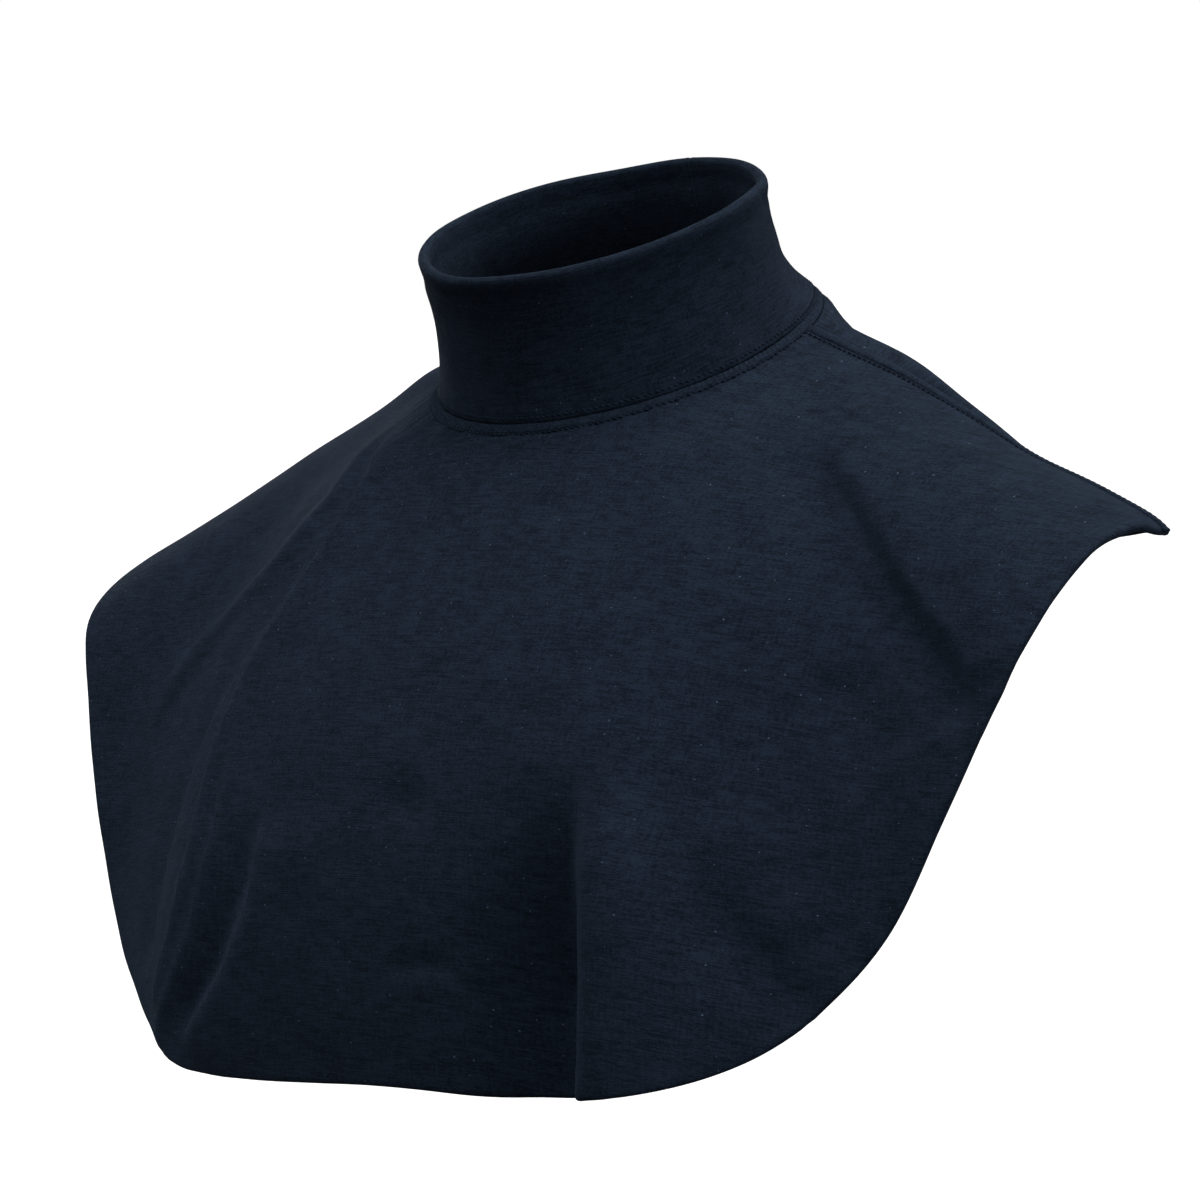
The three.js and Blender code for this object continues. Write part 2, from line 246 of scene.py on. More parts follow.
@dataclass(frozen=True)
class Fold:
    """A ridge or dent of a panel, along a line of places on it from the neck towards the cut edge.

    Attributes:
        name: What it is on the cloth. Not used.
        places: Places along it, as (side, drop).
        right: How far it spreads towards the wearer's right.
        left: How far it spreads towards the wearer's left.
        height: How far it stands up. A dent has a height below 0.
        crest: Rounded or crisp.
        fade_in: Share of its length over which it rises at its start.
        fade_out: Share of its length over which it falls at its end.
    """

    name: str
    places: tuple[tuple[float, float], ...]
    right: float
    left: float
    height: float
    crest: Crest = Crest.ROUND
    fade_in: float = 0.25
    fade_out: float = 0.0

    def lift(self, line: np.ndarray, points: np.ndarray, normals: np.ndarray) -> np.ndarray:
        """How far the fold lifts some places of the cloth.

        Args:
            line: The fold's line, as places on the cloth without folds.
            points: The places to lift.
            normals: The cloth's outward normals there.

        Returns:
            One height for each place.
        """
        best = np.full(points.shape[:-1], np.inf)
        share = np.zeros(points.shape[:-1])
        leftward = np.zeros(points.shape[:-1])
        last = len(line) - 1
        for index in range(last):
            start = line[index]
            step = line[index + 1] - start
            along = np.clip((points - start) @ step / (step @ step), 0.0, 1.0)
            offset = points - start - along[..., None] * step
            away = np.linalg.norm(offset, axis=-1)
            nearer = away < best
            turn = np.sum(np.cross(step, offset) * normals, axis=-1)
            best = np.where(nearer, away, best)
            share = np.where(nearer, (index + along) / last, share)
            leftward = np.where(nearer, turn, leftward)
        blend = smooth_step(0.5 + 0.5 * np.sign(leftward) * np.minimum(best / (0.5 * MM), 1.0))
        width = self.right + (self.left - self.right) * blend
        distance = best / width
        soft = 0.25
        power = self.crest.value
        shape = np.exp(soft**power - (distance * distance + soft * soft) ** (power / 2.0))
        if self.fade_in > 0.0:
            shape = shape * smooth_step(share / self.fade_in)
        if self.fade_out > 0.0:
            shape = shape * smooth_step((1.0 - share) / self.fade_out)
        return self.height * shape


@dataclass(frozen=True)
class Settle:
    """A soft shift of the cloth round a place, where it sits higher or lower than the plain drape.

    Attributes:
        centre: The place.
        radius: How far it reaches.
        rise: How far it lifts the cloth. It is below 0 where the cloth sinks.
    """

    centre: tuple[float, float, float]
    radius: float
    rise: float

    def shift(self, points: np.ndarray) -> np.ndarray:
        """How far up each place moves."""
        away = np.linalg.norm(points - np.array(self.centre), axis=-1)
        return self.rise * bell(away / self.radius)


@dataclass(frozen=True)
class Ripple:
    """Shallow unevenness of cloth that has been worn and washed: many faint waves, seeded.

    Attributes:
        seed: Seed of the waves' directions and phases.
        waves: How many waves are summed.
        shortest: The shortest wave.
        longest: The longest wave.
        height: Height of the sum, as a standard deviation.
        level: How much longer the waves are along the courses than down the cloth.
    """

    seed: int
    waves: int = 26
    shortest: float = 24 * MM
    longest: float = 90 * MM
    height: float = 0.32 * MM
    level: float = 1.2

    def lift(self, chart: np.ndarray) -> np.ndarray:
        """The unevenness at chart places."""
        random = np.random.default_rng(self.seed)
        total = np.zeros(chart.shape[:-1])
        for _ in range(self.waves):
            length = self.shortest * (self.longest / self.shortest) ** random.random()
            turn = random.random() * math.pi
            phase = random.random() * 2.0 * math.pi
            across = math.cos(turn) / self.level * chart[..., 0] + math.sin(turn) * chart[..., 1]
            total += (length / self.longest) ** 0.6 * np.sin(2.0 * math.pi * across / length + phase)
        return total * self.height / math.sqrt(self.waves / 2.0)


@dataclass(frozen=True)
class NeckRing:
    """The tilted ring that the collar stands on and the panels hang from.

    Attributes:
        half_width: Half its width at the seam.
        half_depth: Half its depth at the seam.
        tilt: How far it leans down at the front, in degrees.
    """

    half_width: float = 72 * MM
    half_depth: float = 71 * MM
    tilt: float = 21.0

    def places(
        self, angle: np.ndarray, half_width: np.ndarray, half_depth: np.ndarray, height: np.ndarray
    ) -> np.ndarray:
        """Places round the ring.

        Args:
            angle: Angles round it in radians, 0 at the front, growing to the wearer's left.
            half_width: Half widths at those places.
            half_depth: Half depths at those places.
            height: Heights above the ring's plane.

        Returns:
            The places.
        """
        lean = math.radians(self.tilt)
        back = -half_depth * np.cos(angle)
        height = np.broadcast_to(height, back.shape)
        return np.stack(
            [
                half_width * np.sin(angle),
                back * math.cos(lean) - height * math.sin(lean),
                back * math.sin(lean) + height * math.cos(lean),
            ],
            axis=-1,
        )


@dataclass(frozen=True)
class Section:
    """One section of a panel, straight out in plan from the neck to the cut edge.

    Attributes:
        angle: Where it leaves the neck, in degrees round the ring.
        across: Its end's place to the side, as a share of the panel's half width.
        out: Its end's place forward or back, as a share of the way from the shoulder to the full reach.
        down: Its end's height, as a share of the way from the shoulder's drop to the full drop.
        leave: Its slope below the horizontal at the neck, in degrees.
        land: Its slope at the cut edge, in degrees.
        near: How long the first slope holds.
        far: How long the last slope holds.
    """

    angle: float
    across: float
    out: float
    down: float
    leave: float
    land: float
    near: float
    far: float

    def row(self) -> list[float]:
        """Its values in order."""
        return [self.angle, self.across, self.out, self.down, self.leave, self.land, self.near, self.far]


@dataclass(frozen=True)
class Drape:
    """The outside of a panel as a function of two shares.

    "side" runs from -1 at the right shoulder seam to 1 at the left one, and "drop" from 0 at the neck to 1
    at the cut edge.

    Attributes:
        ring: The neck ring it hangs from.
        sections: Its sections, from the centre line to the shoulder seam.
        reach: How far its cut edge lies forward (below 0) or back on the centre line.
        drop: How far its cut edge hangs below the ring's middle on the centre line.
        outward: The sign that turns its normals out.
        folds: Its folds and dents.
        ripple: Its shallow unevenness.
        settles: Where the worn cloth sits higher or lower than the plain drape.
        edge_shift: How much longer the cloth is at its cut edge, as (side, length).
        half_width: Half the dickey's width.
        shoulder_drop: How far the shoulder's end lies below the ring's middle.
        shoulder_back: How far the shoulder's end lies behind the ring's middle.
        settle_margin: Share of the drop next to the neck over which the settles fade in.
        fold_margin: Share of the panel next to the neck and the shoulder seams over which folds fade in.
        clearance: Gap between the two panels at the shoulder seams.
        parting: How steeply that gap dies out beside the seams, for a side of 1.
        pucker_height: Height of the small gathers along the neck seam.
        pucker_count: How many gathers lie between the shoulder seams.
        pucker_reach: How far from the neck the gathers die out, as a share of the drop.
    """

    ring: NeckRing
    sections: tuple[Section, ...]
    reach: float
    drop: float
    outward: float
    folds: tuple[Fold, ...] = ()
    ripple: Ripple = Ripple(seed=5)
    settles: tuple[Settle, ...] = ()
    edge_shift: tuple[tuple[float, float], ...] = ((-1.0, 0.0), (1.0, 0.0))
    half_width: float = 231 * MM
    shoulder_drop: float = 70 * MM
    shoulder_back: float = 18 * MM
    settle_margin: float = 0.1
    fold_margin: float = 0.12
    clearance: float = 0.3 * MM
    parting: float = 24.0
    pucker_height: float = 0.22 * MM
    pucker_count: int = 23
    pucker_reach: float = 0.075

    def _values(self, share: np.ndarray) -> np.ndarray:
        """The sections' values at shares of the way from the centre line to the shoulder seam.

        Args:
            share: Shares from 0 to 1.

        Returns:
            Eight values for each share, on a smooth curve through the sections.
        """
        rows = np.array([section.row() for section in self.sections])
        mirrored = rows[1].copy()
        mirrored[0] = 2.0 * rows[0, 0] - rows[1, 0]
        mirrored[1] = -rows[1, 1]
        rows = np.vstack([mirrored, rows])
        last = len(rows) - 1
        at = 1.0 + np.clip(share, 0.0, 1.0) * (last - 1)
        row = np.minimum(np.floor(at).astype(int), last - 1)
        part = (at - row)[..., None]
        here, beyond = rows[row], rows[row + 1]
        before, after = rows[np.maximum(row - 1, 0)], rows[np.minimum(row + 2, last)]
        rise, next_rise, step = (beyond - before) / 2.0, (after - here) / 2.0, beyond - here
        bend = part**2 * (3.0 * step - 2.0 * rise - next_rise)
        return here + part * rise + bend + part**3 * (rise + next_rise - 2.0 * step)

    def plain(self, side: np.ndarray, drop: np.ndarray) -> np.ndarray:
        """The cloth without folds.

        Args:
            side: Sides from -1 to 1.
            drop: Drops from 0 to 1.

        Returns:
            A place for each pair.
        """
        values = self._values(np.abs(side))
        angle, across, out, down, leave, land, near, far = np.moveaxis(values, -1, 0)
        start = self.ring.places(np.radians(angle), self.ring.half_width, self.ring.half_depth, 0.0)
        end = np.stack(
            [
                across * self.half_width,
                self.shoulder_back + (self.reach - self.shoulder_back) * out,
                -(self.shoulder_drop + (self.drop - self.shoulder_drop) * down),
            ],
            axis=-1,
        )
        plan = unit((end - start)[..., :2])

        def slope(degrees: np.ndarray) -> np.ndarray:
            """Unit vectors straight out in plan that fall at an angle."""
            fall = np.radians(degrees)[..., None]
            return np.concatenate([plan * np.cos(fall), -np.sin(fall)], axis=-1)

        chord = np.linalg.norm(end - start, axis=-1)[..., None]
        after_start = start + slope(leave) * chord * near[..., None]
        before_end = end - slope(land) * chord * far[..., None]
        part = np.asarray(drop)[..., None]
        rest = 1.0 - part
        point = rest**3 * start + 3 * part * rest**2 * after_start
        point = point + 3 * part**2 * rest * before_end + part**3 * end
        point[..., 0] *= np.where(np.asarray(side) < 0, -1.0, 1.0)
        rise = sum(settle.shift(point) for settle in self.settles)
        point[..., 2] += rise * smooth_step(part[..., 0] / self.settle_margin)
        return point

    def chart(self, points: np.ndarray) -> np.ndarray:
        """Chart places for the knit, whose courses run level round the body."""
        return np.stack([points[..., 0], -points[..., 2] - 0.35 * self.outward * -points[..., 1]], axis=-1)

    def _normals(
        self, surface: Callable[[np.ndarray, np.ndarray], np.ndarray], side: np.ndarray, drop: np.ndarray
    ) -> np.ndarray:
        """Outward normals of a surface given as a function of side and drop.

        Args:
            surface: The surface.
            side: Sides from -1 to 1.
            drop: Drops from 0 to 1.

        Returns:
            Unit vectors. On a shoulder seam they point straight up across the seam.
        """
        along = surface(side, drop + PROBE) - surface(side, drop - PROBE)
        leftward, rightward = np.minimum(side + PROBE, 1.0), np.maximum(side - PROBE, -1.0)
        crossing = surface(leftward, drop) - surface(rightward, drop)
        normal = np.cross(crossing, along) * self.outward
        upward = np.cross(along, np.array([0.0, 1.0, 0.0]))
        upward = upward * np.sign(upward[..., 2:3])
        return unit(np.where(np.abs(side)[..., None] > 0.9999, upward, normal))

    def lift(self, points: np.ndarray, normals: np.ndarray, side: np.ndarray, drop: np.ndarray) -> np.ndarray:
        """How far folds, ripple and the gathers at the neck seam lift the cloth.

        Args:
            points: Places of the cloth without folds.
            normals: The outward normals there.
            side: Their sides.
            drop: Their drops.

        Returns:
            A height for each place.
        """
        total = self.ripple.lift(self.chart(points))
        for fold in self.folds:
            sides, drops = np.array(fold.places).T
            turns = np.linspace(0.0, len(sides) - 1.0, 6 * len(sides) - 5)
            knots = np.arange(len(sides))
            line = self.plain(np.interp(turns, knots, sides), np.interp(turns, knots, drops))
            total = total + fold.lift(line, points, normals)
        fade = np.minimum(1.0, drop / self.fold_margin)
        fade = fade * np.minimum(1.0, (1.0 - np.abs(side)) / self.fold_margin)
        gather = bell(drop / self.pucker_reach) * self.pucker_height
        phase = math.pi * self.pucker_count * side
        waves = np.sin(phase) + 0.6 * np.sin(2.3 * phase + 1.0)
        return total * fade + gather * waves * np.minimum(1.0, (1.0 - np.abs(side)) / self.fold_margin)

    def cloth(self, side: np.ndarray, drop: np.ndarray) -> np.ndarray:
        """The cloth's outside with all its folds.

        Args:
            side: Sides from -1 to 1.
            drop: Drops from 0 to 1.

        Returns:
            A place for each pair.
        """
        side, drop = np.broadcast_arrays(np.asarray(side, float), np.asarray(drop, float))
        point = self.plain(side, drop)
        normal = self._normals(self.plain, side, drop)
        point = point + normal * self.lift(point, normal, side, drop)[..., None]
        seam_share = np.clip(1.0 - (1.0 - np.abs(side)) * self.parting, 0.0, 1.0)
        point[..., 1] += self.outward * seam_share * self.clearance / 2.0
        return point

    def normals(self, side: np.ndarray, drop: np.ndarray) -> np.ndarray:
        """Outward normals of the cloth with its folds."""
        side, drop = np.broadcast_arrays(np.asarray(side, float), np.asarray(drop, float))
        return self._normals(self.cloth, side, drop)

    def share_of(self, side: np.ndarray, length: np.ndarray | float, drop: float = 0.0) -> np.ndarray:
        """The share of the drop that a length takes near the neck or, with drop 1, near the cut edge.

        Args:
            side: Sides from -1 to 1.
            length: The length along the cloth.
            drop: 0 or 1.

        Returns:
            A share for each side.
        """
        side = np.asarray(side, float)
        there = np.full_like(side, drop)
        step = PROBE if drop < 0.5 else -PROBE
        gap = np.linalg.norm(self.plain(side, there + step) - self.plain(side, there), axis=-1)
        return length * PROBE / gap

    def edge_drop(self, side: np.ndarray, inset: float) -> np.ndarray:
        """The drops at a distance from the cut edge, for some sides."""
        sides, lengths = np.array(self.edge_shift).T
        return 1.0 - self.share_of(side, inset - smooth_through(sides, lengths, side), 1.0)

    def path(self, side: np.ndarray, drop: np.ndarray, crossing_down: bool, closed: bool = False) -> Path:
        """A line on the cloth.

        Args:
            side: Sides along it.
            drop: Drops along it.
            crossing_down: Whether the line's crossings point down the cloth. If not, they point to its side.
            closed: Whether it runs round to its start.

        Returns:
            The line.
        """
        points = self.cloth(side, drop)
        normals = self.normals(side, drop)
        if crossing_down:
            ahead = self.cloth(side, drop + PROBE) - self.cloth(side, drop - PROBE)
        else:
            ahead = np.broadcast_to(np.array([0.0, 1.0, 0.0]), points.shape)
        ahead = ahead - normals * np.sum(ahead * normals, axis=-1, keepdims=True)
        return Path(points, normals, unit(ahead), closed)


class EffectGroups:
    """The shader effects that several finishes share, each a node group made once."""

    def __init__(self) -> None:
        """Makes the groups."""
        self.loops = self._knit_loops()
        self.heather = self._heather()
        self.lint = self._lint()

    @staticmethod
    def _start(name: str, inputs: dict[str, float], outputs: Sequence[str]) -> tuple:
        """Starts a node group.

        Args:
            name: Its name.
            inputs: Its number inputs with their defaults. A vector input "Chart" is added before them.
            outputs: Its number outputs.

        Returns:
            The tree, its input node and its output node.
        """
        tree = bpy.data.node_groups.new(name, "ShaderNodeTree")
        tree.interface.new_socket("Chart", in_out="INPUT", socket_type="NodeSocketVector")
        for label, value in inputs.items():
            socket = tree.interface.new_socket(label, in_out="INPUT", socket_type="NodeSocketFloat")
            socket.default_value = value
        for label in outputs:
            tree.interface.new_socket(label, in_out="OUTPUT", socket_type="NodeSocketFloat")
        return tree, tree.nodes.new("NodeGroupInput"), tree.nodes.new("NodeGroupOutput")

    @staticmethod
    def _math(tree: bpy.types.NodeTree, operation: str, first: object, second: object = 0.0) -> object:
        """Adds a math node.

        Args:
            tree: The tree to add it to.
            operation: What it does.
            first: A socket or a number.
            second: A socket or a number.

        Returns:
            Its output socket.
        """
        node = tree.nodes.new("ShaderNodeMath")
        node.operation = operation
        for index, value in enumerate((first, second)):
            if isinstance(value, (int, float)):
                node.inputs[index].default_value = value
            else:
                tree.links.new(value, node.inputs[index])
        return node.outputs[0]

    @classmethod
    def _stretched(cls, tree: bpy.types.NodeTree, chart: object, wide: object, tall: object) -> object:
        """Chart coordinates counted in cells of a width and a height.

        Args:
            tree: The tree.
            chart: The chart's socket.
            wide: The cells' width, a socket or a number.
            tall: The cells' height, a socket or a number.

        Returns:
            A vector socket.
        """
        parts = tree.nodes.new("ShaderNodeSeparateXYZ")
        tree.links.new(chart, parts.inputs[0])
        joined = tree.nodes.new("ShaderNodeCombineXYZ")
        tree.links.new(cls._math(tree, "DIVIDE", parts.outputs[0], wide), joined.inputs[0])
        tree.links.new(cls._math(tree, "DIVIDE", parts.outputs[1], tall), joined.inputs[1])
        return joined.outputs[0]

    @staticmethod
    def _noise(tree: bpy.types.NodeTree, vector: object, scale: float, detail: float, rough: float) -> object:
        """Adds a noise texture.

        Args:
            tree: The tree.
            vector: Its coordinates' socket.
            scale: Its scale.
            detail: Its octaves.
            rough: Its roughness.

        Returns:
            Its number output.
        """
        node = tree.nodes.new("ShaderNodeTexNoise")
        node.noise_dimensions = "2D"
        node.inputs["Scale"].default_value = scale
        node.inputs["Detail"].default_value = detail
        node.inputs["Roughness"].default_value = rough
        tree.links.new(vector, node.inputs["Vector"])
        return node.outputs["Fac"]

    def _knit_loops(self) -> bpy.types.NodeTree:
        """Jersey loops: columns of slanted legs that meet in a V, slightly uneven."""
        sizes = {"Wale": 0.9 * MM, "Course": 0.7 * MM}
        tree, source, result = self._start("knit_loops", sizes, ["Height", "Gap"])
        chart = source.outputs["Chart"]
        wander = self._noise(tree, self._stretched(tree, chart, 3 * MM, 3 * MM), 1.0, 2.0, 0.5)
        parts = tree.nodes.new("ShaderNodeSeparateXYZ")
        cells = self._stretched(tree, chart, source.outputs["Wale"], source.outputs["Course"])
        tree.links.new(cells, parts.inputs[0])
        column = self._math(tree, "ADD", parts.outputs[0], self._math(tree, "MULTIPLY", wander, 0.5))
        centred = self._math(tree, "SUBTRACT", self._math(tree, "FRACT", column), 0.5)
        leg = self._math(tree, "ABSOLUTE", centred)
        slant = self._math(tree, "MULTIPLY", leg, 1.1)
        row = self._math(tree, "ADD", parts.outputs[1], self._math(tree, "MULTIPLY", wander, 0.6))
        phase = self._math(tree, "FRACT", self._math(tree, "ADD", row, slant))
        yarn = self._math(tree, "SINE", self._math(tree, "MULTIPLY", phase, math.pi))
        round_leg = self._math(tree, "SINE", self._math(tree, "MULTIPLY", leg, 2.0 * math.pi))
        body = self._math(tree, "POWER", self._math(tree, "MAXIMUM", round_leg, 0.0), 0.6)
        rounded = self._math(tree, "ADD", self._math(tree, "MULTIPLY", yarn, 0.6), 0.4)
        height = self._math(tree, "MULTIPLY", body, rounded)
        tree.links.new(height, result.inputs["Height"])
        tree.links.new(self._math(tree, "SUBTRACT", 1.0, height), result.inputs["Gap"])
        return tree

    def _heather(self) -> bpy.types.NodeTree:
        """Uneven dye and thick and thin yarn: streaks along the courses, and soft clouds."""
        sizes = {"Streak": 9 * MM, "Thread": 0.8 * MM}
        tree, source, result = self._start("heather_streaks", sizes, ["Tone", "Slub"])
        chart = source.outputs["Chart"]
        layers = (
            (source.outputs["Streak"], source.outputs["Thread"], 3.0, 0.6, 0.32),
            (1.3 * MM, 0.8 * MM, 2.0, 0.7, 0.34),
            (0.9 * MM, 7 * MM, 2.0, 0.6, 0.14),
            (6 * MM, 3.0 * MM, 2.0, 0.6, 0.16),
            (19 * MM, 12 * MM, 3.0, 0.55, 0.13),
        )
        parts = [
            (self._noise(tree, self._stretched(tree, chart, wide, tall), 1.0, detail, rough), weight)
            for wide, tall, detail, rough, weight in layers
        ]
        long_streaks = parts[0][0]
        summed = 0.0
        for streaks, weight in parts:
            summed = self._math(tree, "ADD", self._math(tree, "MULTIPLY", streaks, weight), summed)
        spread = tree.nodes.new("ShaderNodeMapRange")
        spread.inputs["From Min"].default_value = 0.44
        spread.inputs["From Max"].default_value = 0.64
        tree.links.new(summed, spread.inputs["Value"])
        tree.links.new(spread.outputs["Result"], result.inputs["Tone"])
        tree.links.new(long_streaks, result.inputs["Slub"])
        return tree

    def _lint(self) -> bpy.types.NodeTree:
        """Specks of lint and short loose fibres on the nap."""
        tree, source, result = self._start("lint_specks", {"Spacing": 6 * MM, "Size": 0.05}, ["Mask"])
        chart = source.outputs["Chart"]
        cells = self._stretched(tree, chart, source.outputs["Spacing"], source.outputs["Spacing"])
        specks = tree.nodes.new("ShaderNodeTexVoronoi")
        specks.voronoi_dimensions = "2D"
        specks.inputs["Scale"].default_value = 1.0
        tree.links.new(cells, specks.inputs["Vector"])
        pick = tree.nodes.new("ShaderNodeSeparateColor")
        tree.links.new(specks.outputs["Color"], pick.inputs[0])
        size = self._math(tree, "MULTIPLY", source.outputs["Size"], pick.outputs[0])
        inside = self._math(tree, "LESS_THAN", specks.outputs["Distance"], size)
        chosen = self._math(tree, "GREATER_THAN", pick.outputs[1], 0.72)
        tree.links.new(self._math(tree, "MULTIPLY", inside, chosen), result.inputs["Mask"])
        return tree


@dataclass(frozen=True)
class KnitFinish:
    """Dark navy cotton jersey.

    Attributes:
        name: The material's name.
        deep: Colour of the darkest streaks. Scaled down, it is also the painted shade in the gaps between the
            loops.
        light: Colour of the lightest streaks.
        lint: Colour of lint.
        wale: Width of a column of loops.
        course: Height of a row of loops.
        streak: Length of the heather streaks.
        loop_height: How far the loops stand up.
        roughness: Roughness of the yarn.
        sheen: Weight of the nap's sheen.
        sheen_tint: Colour of the sheen.
        lint_size: Size of the lint specks, as a share of their spacing.
    """

    name: str
    deep: tuple[float, float, float] = (0.0028, 0.0066, 0.0138)
    light: tuple[float, float, float] = (0.0132, 0.0232, 0.0418)
    lint: tuple[float, float, float] = (0.055, 0.080, 0.125)
    wale: float = 0.95 * MM
    course: float = 0.8 * MM
    streak: float = 9 * MM
    loop_height: float = 0.16 * MM
    roughness: float = 0.92
    sheen: float = 0.05
    sheen_tint: tuple[float, float, float] = (0.36, 0.54, 0.86)
    lint_size: float = 0.05

    def build(self, effects: EffectGroups) -> bpy.types.Material:
        """Makes the material.

        Args:
            effects: The shared effects.

        Returns:
            The material.
        """
        material = bpy.data.materials.new(self.name)
        material.use_nodes = True
        tree = material.node_tree
        shader = tree.nodes["Principled BSDF"]
        shader.inputs["Metallic"].default_value = 0.0
        shader.inputs["Specular IOR Level"].default_value = 0.1
        shader.inputs["Sheen Weight"].default_value = self.sheen
        shader.inputs["Sheen Roughness"].default_value = 0.42
        shader.inputs["Sheen Tint"].default_value = (*self.sheen_tint, 1.0)
        chart = tree.nodes.new("ShaderNodeUVMap")
        chart.uv_map = MeshMaker.CHART

        def effect(group: bpy.types.NodeTree, values: dict[str, float]) -> bpy.types.Node:
            """Places one shared effect with its own values."""
            node = tree.nodes.new("ShaderNodeGroup")
            node.node_tree = group
            tree.links.new(chart.outputs["UV"], node.inputs["Chart"])
            for label, value in values.items():
                node.inputs[label].default_value = value
            return node

        loops = effect(effects.loops, {"Wale": self.wale, "Course": self.course})
        heather = effect(effects.heather, {"Streak": self.streak, "Thread": self.course})
        lint = effect(effects.lint, {"Size": self.lint_size})

        def mixed(factor: object, first: tuple[float, float, float] | object, second: tuple) -> object:
            """A colour mixed from two by a factor's socket."""
            node = tree.nodes.new("ShaderNodeMix")
            node.data_type = "RGBA"
            tree.links.new(factor, node.inputs[0])
            if isinstance(first, tuple):
                node.inputs[6].default_value = (*first, 1.0)
            else:
                tree.links.new(first, node.inputs[6])
            node.inputs[7].default_value = (*second, 1.0)
            return node.outputs[2]

        yarn = mixed(heather.outputs["Tone"], self.deep, self.light)
        # Painted shade: the gaps between the loops are darkened towards a deeper navy, standing in for the
        # shade that falls in them.
        shade = tree.nodes.new("ShaderNodeMath")
        shade.operation = "MULTIPLY"
        tree.links.new(loops.outputs["Gap"], shade.inputs[0])
        shade.inputs[1].default_value = 0.45
        shaded = mixed(shade.outputs[0], yarn, tuple(value * 0.45 for value in self.deep))
        tree.links.new(mixed(lint.outputs["Mask"], shaded, self.lint), shader.inputs["Base Color"])
        gloss = tree.nodes.new("ShaderNodeMapRange")
        gloss.inputs["To Min"].default_value = self.roughness - 0.07
        gloss.inputs["To Max"].default_value = self.roughness + 0.05
        tree.links.new(heather.outputs["Slub"], gloss.inputs["Value"])
        tree.links.new(gloss.outputs["Result"], shader.inputs["Roughness"])
        raised = tree.nodes.new("ShaderNodeMath")
        raised.operation = "MULTIPLY_ADD"
        tree.links.new(heather.outputs["Slub"], raised.inputs[0])
        raised.inputs[1].default_value = 0.8
        tree.links.new(loops.outputs["Height"], raised.inputs[2])
        bump = tree.nodes.new("ShaderNodeBump")
        bump.inputs["Strength"].default_value = 0.8
        bump.inputs["Distance"].default_value = self.loop_height
        tree.links.new(raised.outputs[0], bump.inputs["Height"])
        tree.links.new(bump.outputs["Normal"], shader.inputs["Normal"])
        return material


@dataclass(frozen=True)
class ThreadFinish:
    """Navy sewing thread, twisted from two plies.

    Attributes:
        name: The material's name.
        dark: Painted shade in the groove between the plies, colour that stands in for the shadow there.
        light: Painted highlight on top of a ply, colour that stands in for the light caught there.
        roughness: Roughness of the thread.
        twist: Length of one turn of the twist.
    """

    name: str
    dark: tuple[float, float, float] = (0.0022, 0.0046, 0.0092)
    light: tuple[float, float, float] = (0.0120, 0.0215, 0.0380)
    roughness: float = 0.85
    twist: float = 0.5 * MM

    def build(self) -> bpy.types.Material:
        """Makes the material from a twist that runs slantwise round the thread, with painted shade in its
        grooves and a painted highlight on its plies.
        """
        material = bpy.data.materials.new(self.name)
        material.use_nodes = True
        tree = material.node_tree
        shader = tree.nodes["Principled BSDF"]
        shader.inputs["Roughness"].default_value = self.roughness
        shader.inputs["Specular IOR Level"].default_value = 0.08
        chart = tree.nodes.new("ShaderNodeUVMap")
        chart.uv_map = MeshMaker.CHART
        plies = tree.nodes.new("ShaderNodeTexWave")
        plies.wave_type = "BANDS"
        plies.bands_direction = "DIAGONAL"
        plies.inputs["Scale"].default_value = 0.12 / self.twist
        plies.inputs["Distortion"].default_value = 0.4
        tree.links.new(chart.outputs["UV"], plies.inputs["Vector"])
        # Painted shade and highlight: the twist bands mix the groove's shade colour with the ply's highlight
        # colour.
        colour = tree.nodes.new("ShaderNodeMix")
        colour.data_type = "RGBA"
        colour.inputs[6].default_value = (*self.dark, 1.0)
        colour.inputs[7].default_value = (*self.light, 1.0)
        tree.links.new(plies.outputs["Fac"], colour.inputs[0])
        tree.links.new(colour.outputs[2], shader.inputs["Base Color"])
        bump = tree.nodes.new("ShaderNodeBump")
        bump.inputs["Strength"].default_value = 0.6
        bump.inputs["Distance"].default_value = 0.06 * MM
        tree.links.new(plies.outputs["Fac"], bump.inputs["Height"])
        tree.links.new(bump.outputs["Normal"], shader.inputs["Normal"])
        return material


def dress(
    piece: bpy.types.Object, material: bpy.types.Material, nodes: Sequence[str] = ()
) -> None:
    """Gives a piece its finish and its place in the frame.

    Args:
        piece: The piece.
        material: Its material.
        nodes: The part's nodes that it stands for.
    """
    piece.data.materials.append(material)
    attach(piece, ROOT)
    if nodes:
        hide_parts(*nodes)
    faces = sum(len(polygon.vertices) - 2 for polygon in piece.data.polygons)
    log.info("%s: %d triangles", piece.name, faces)


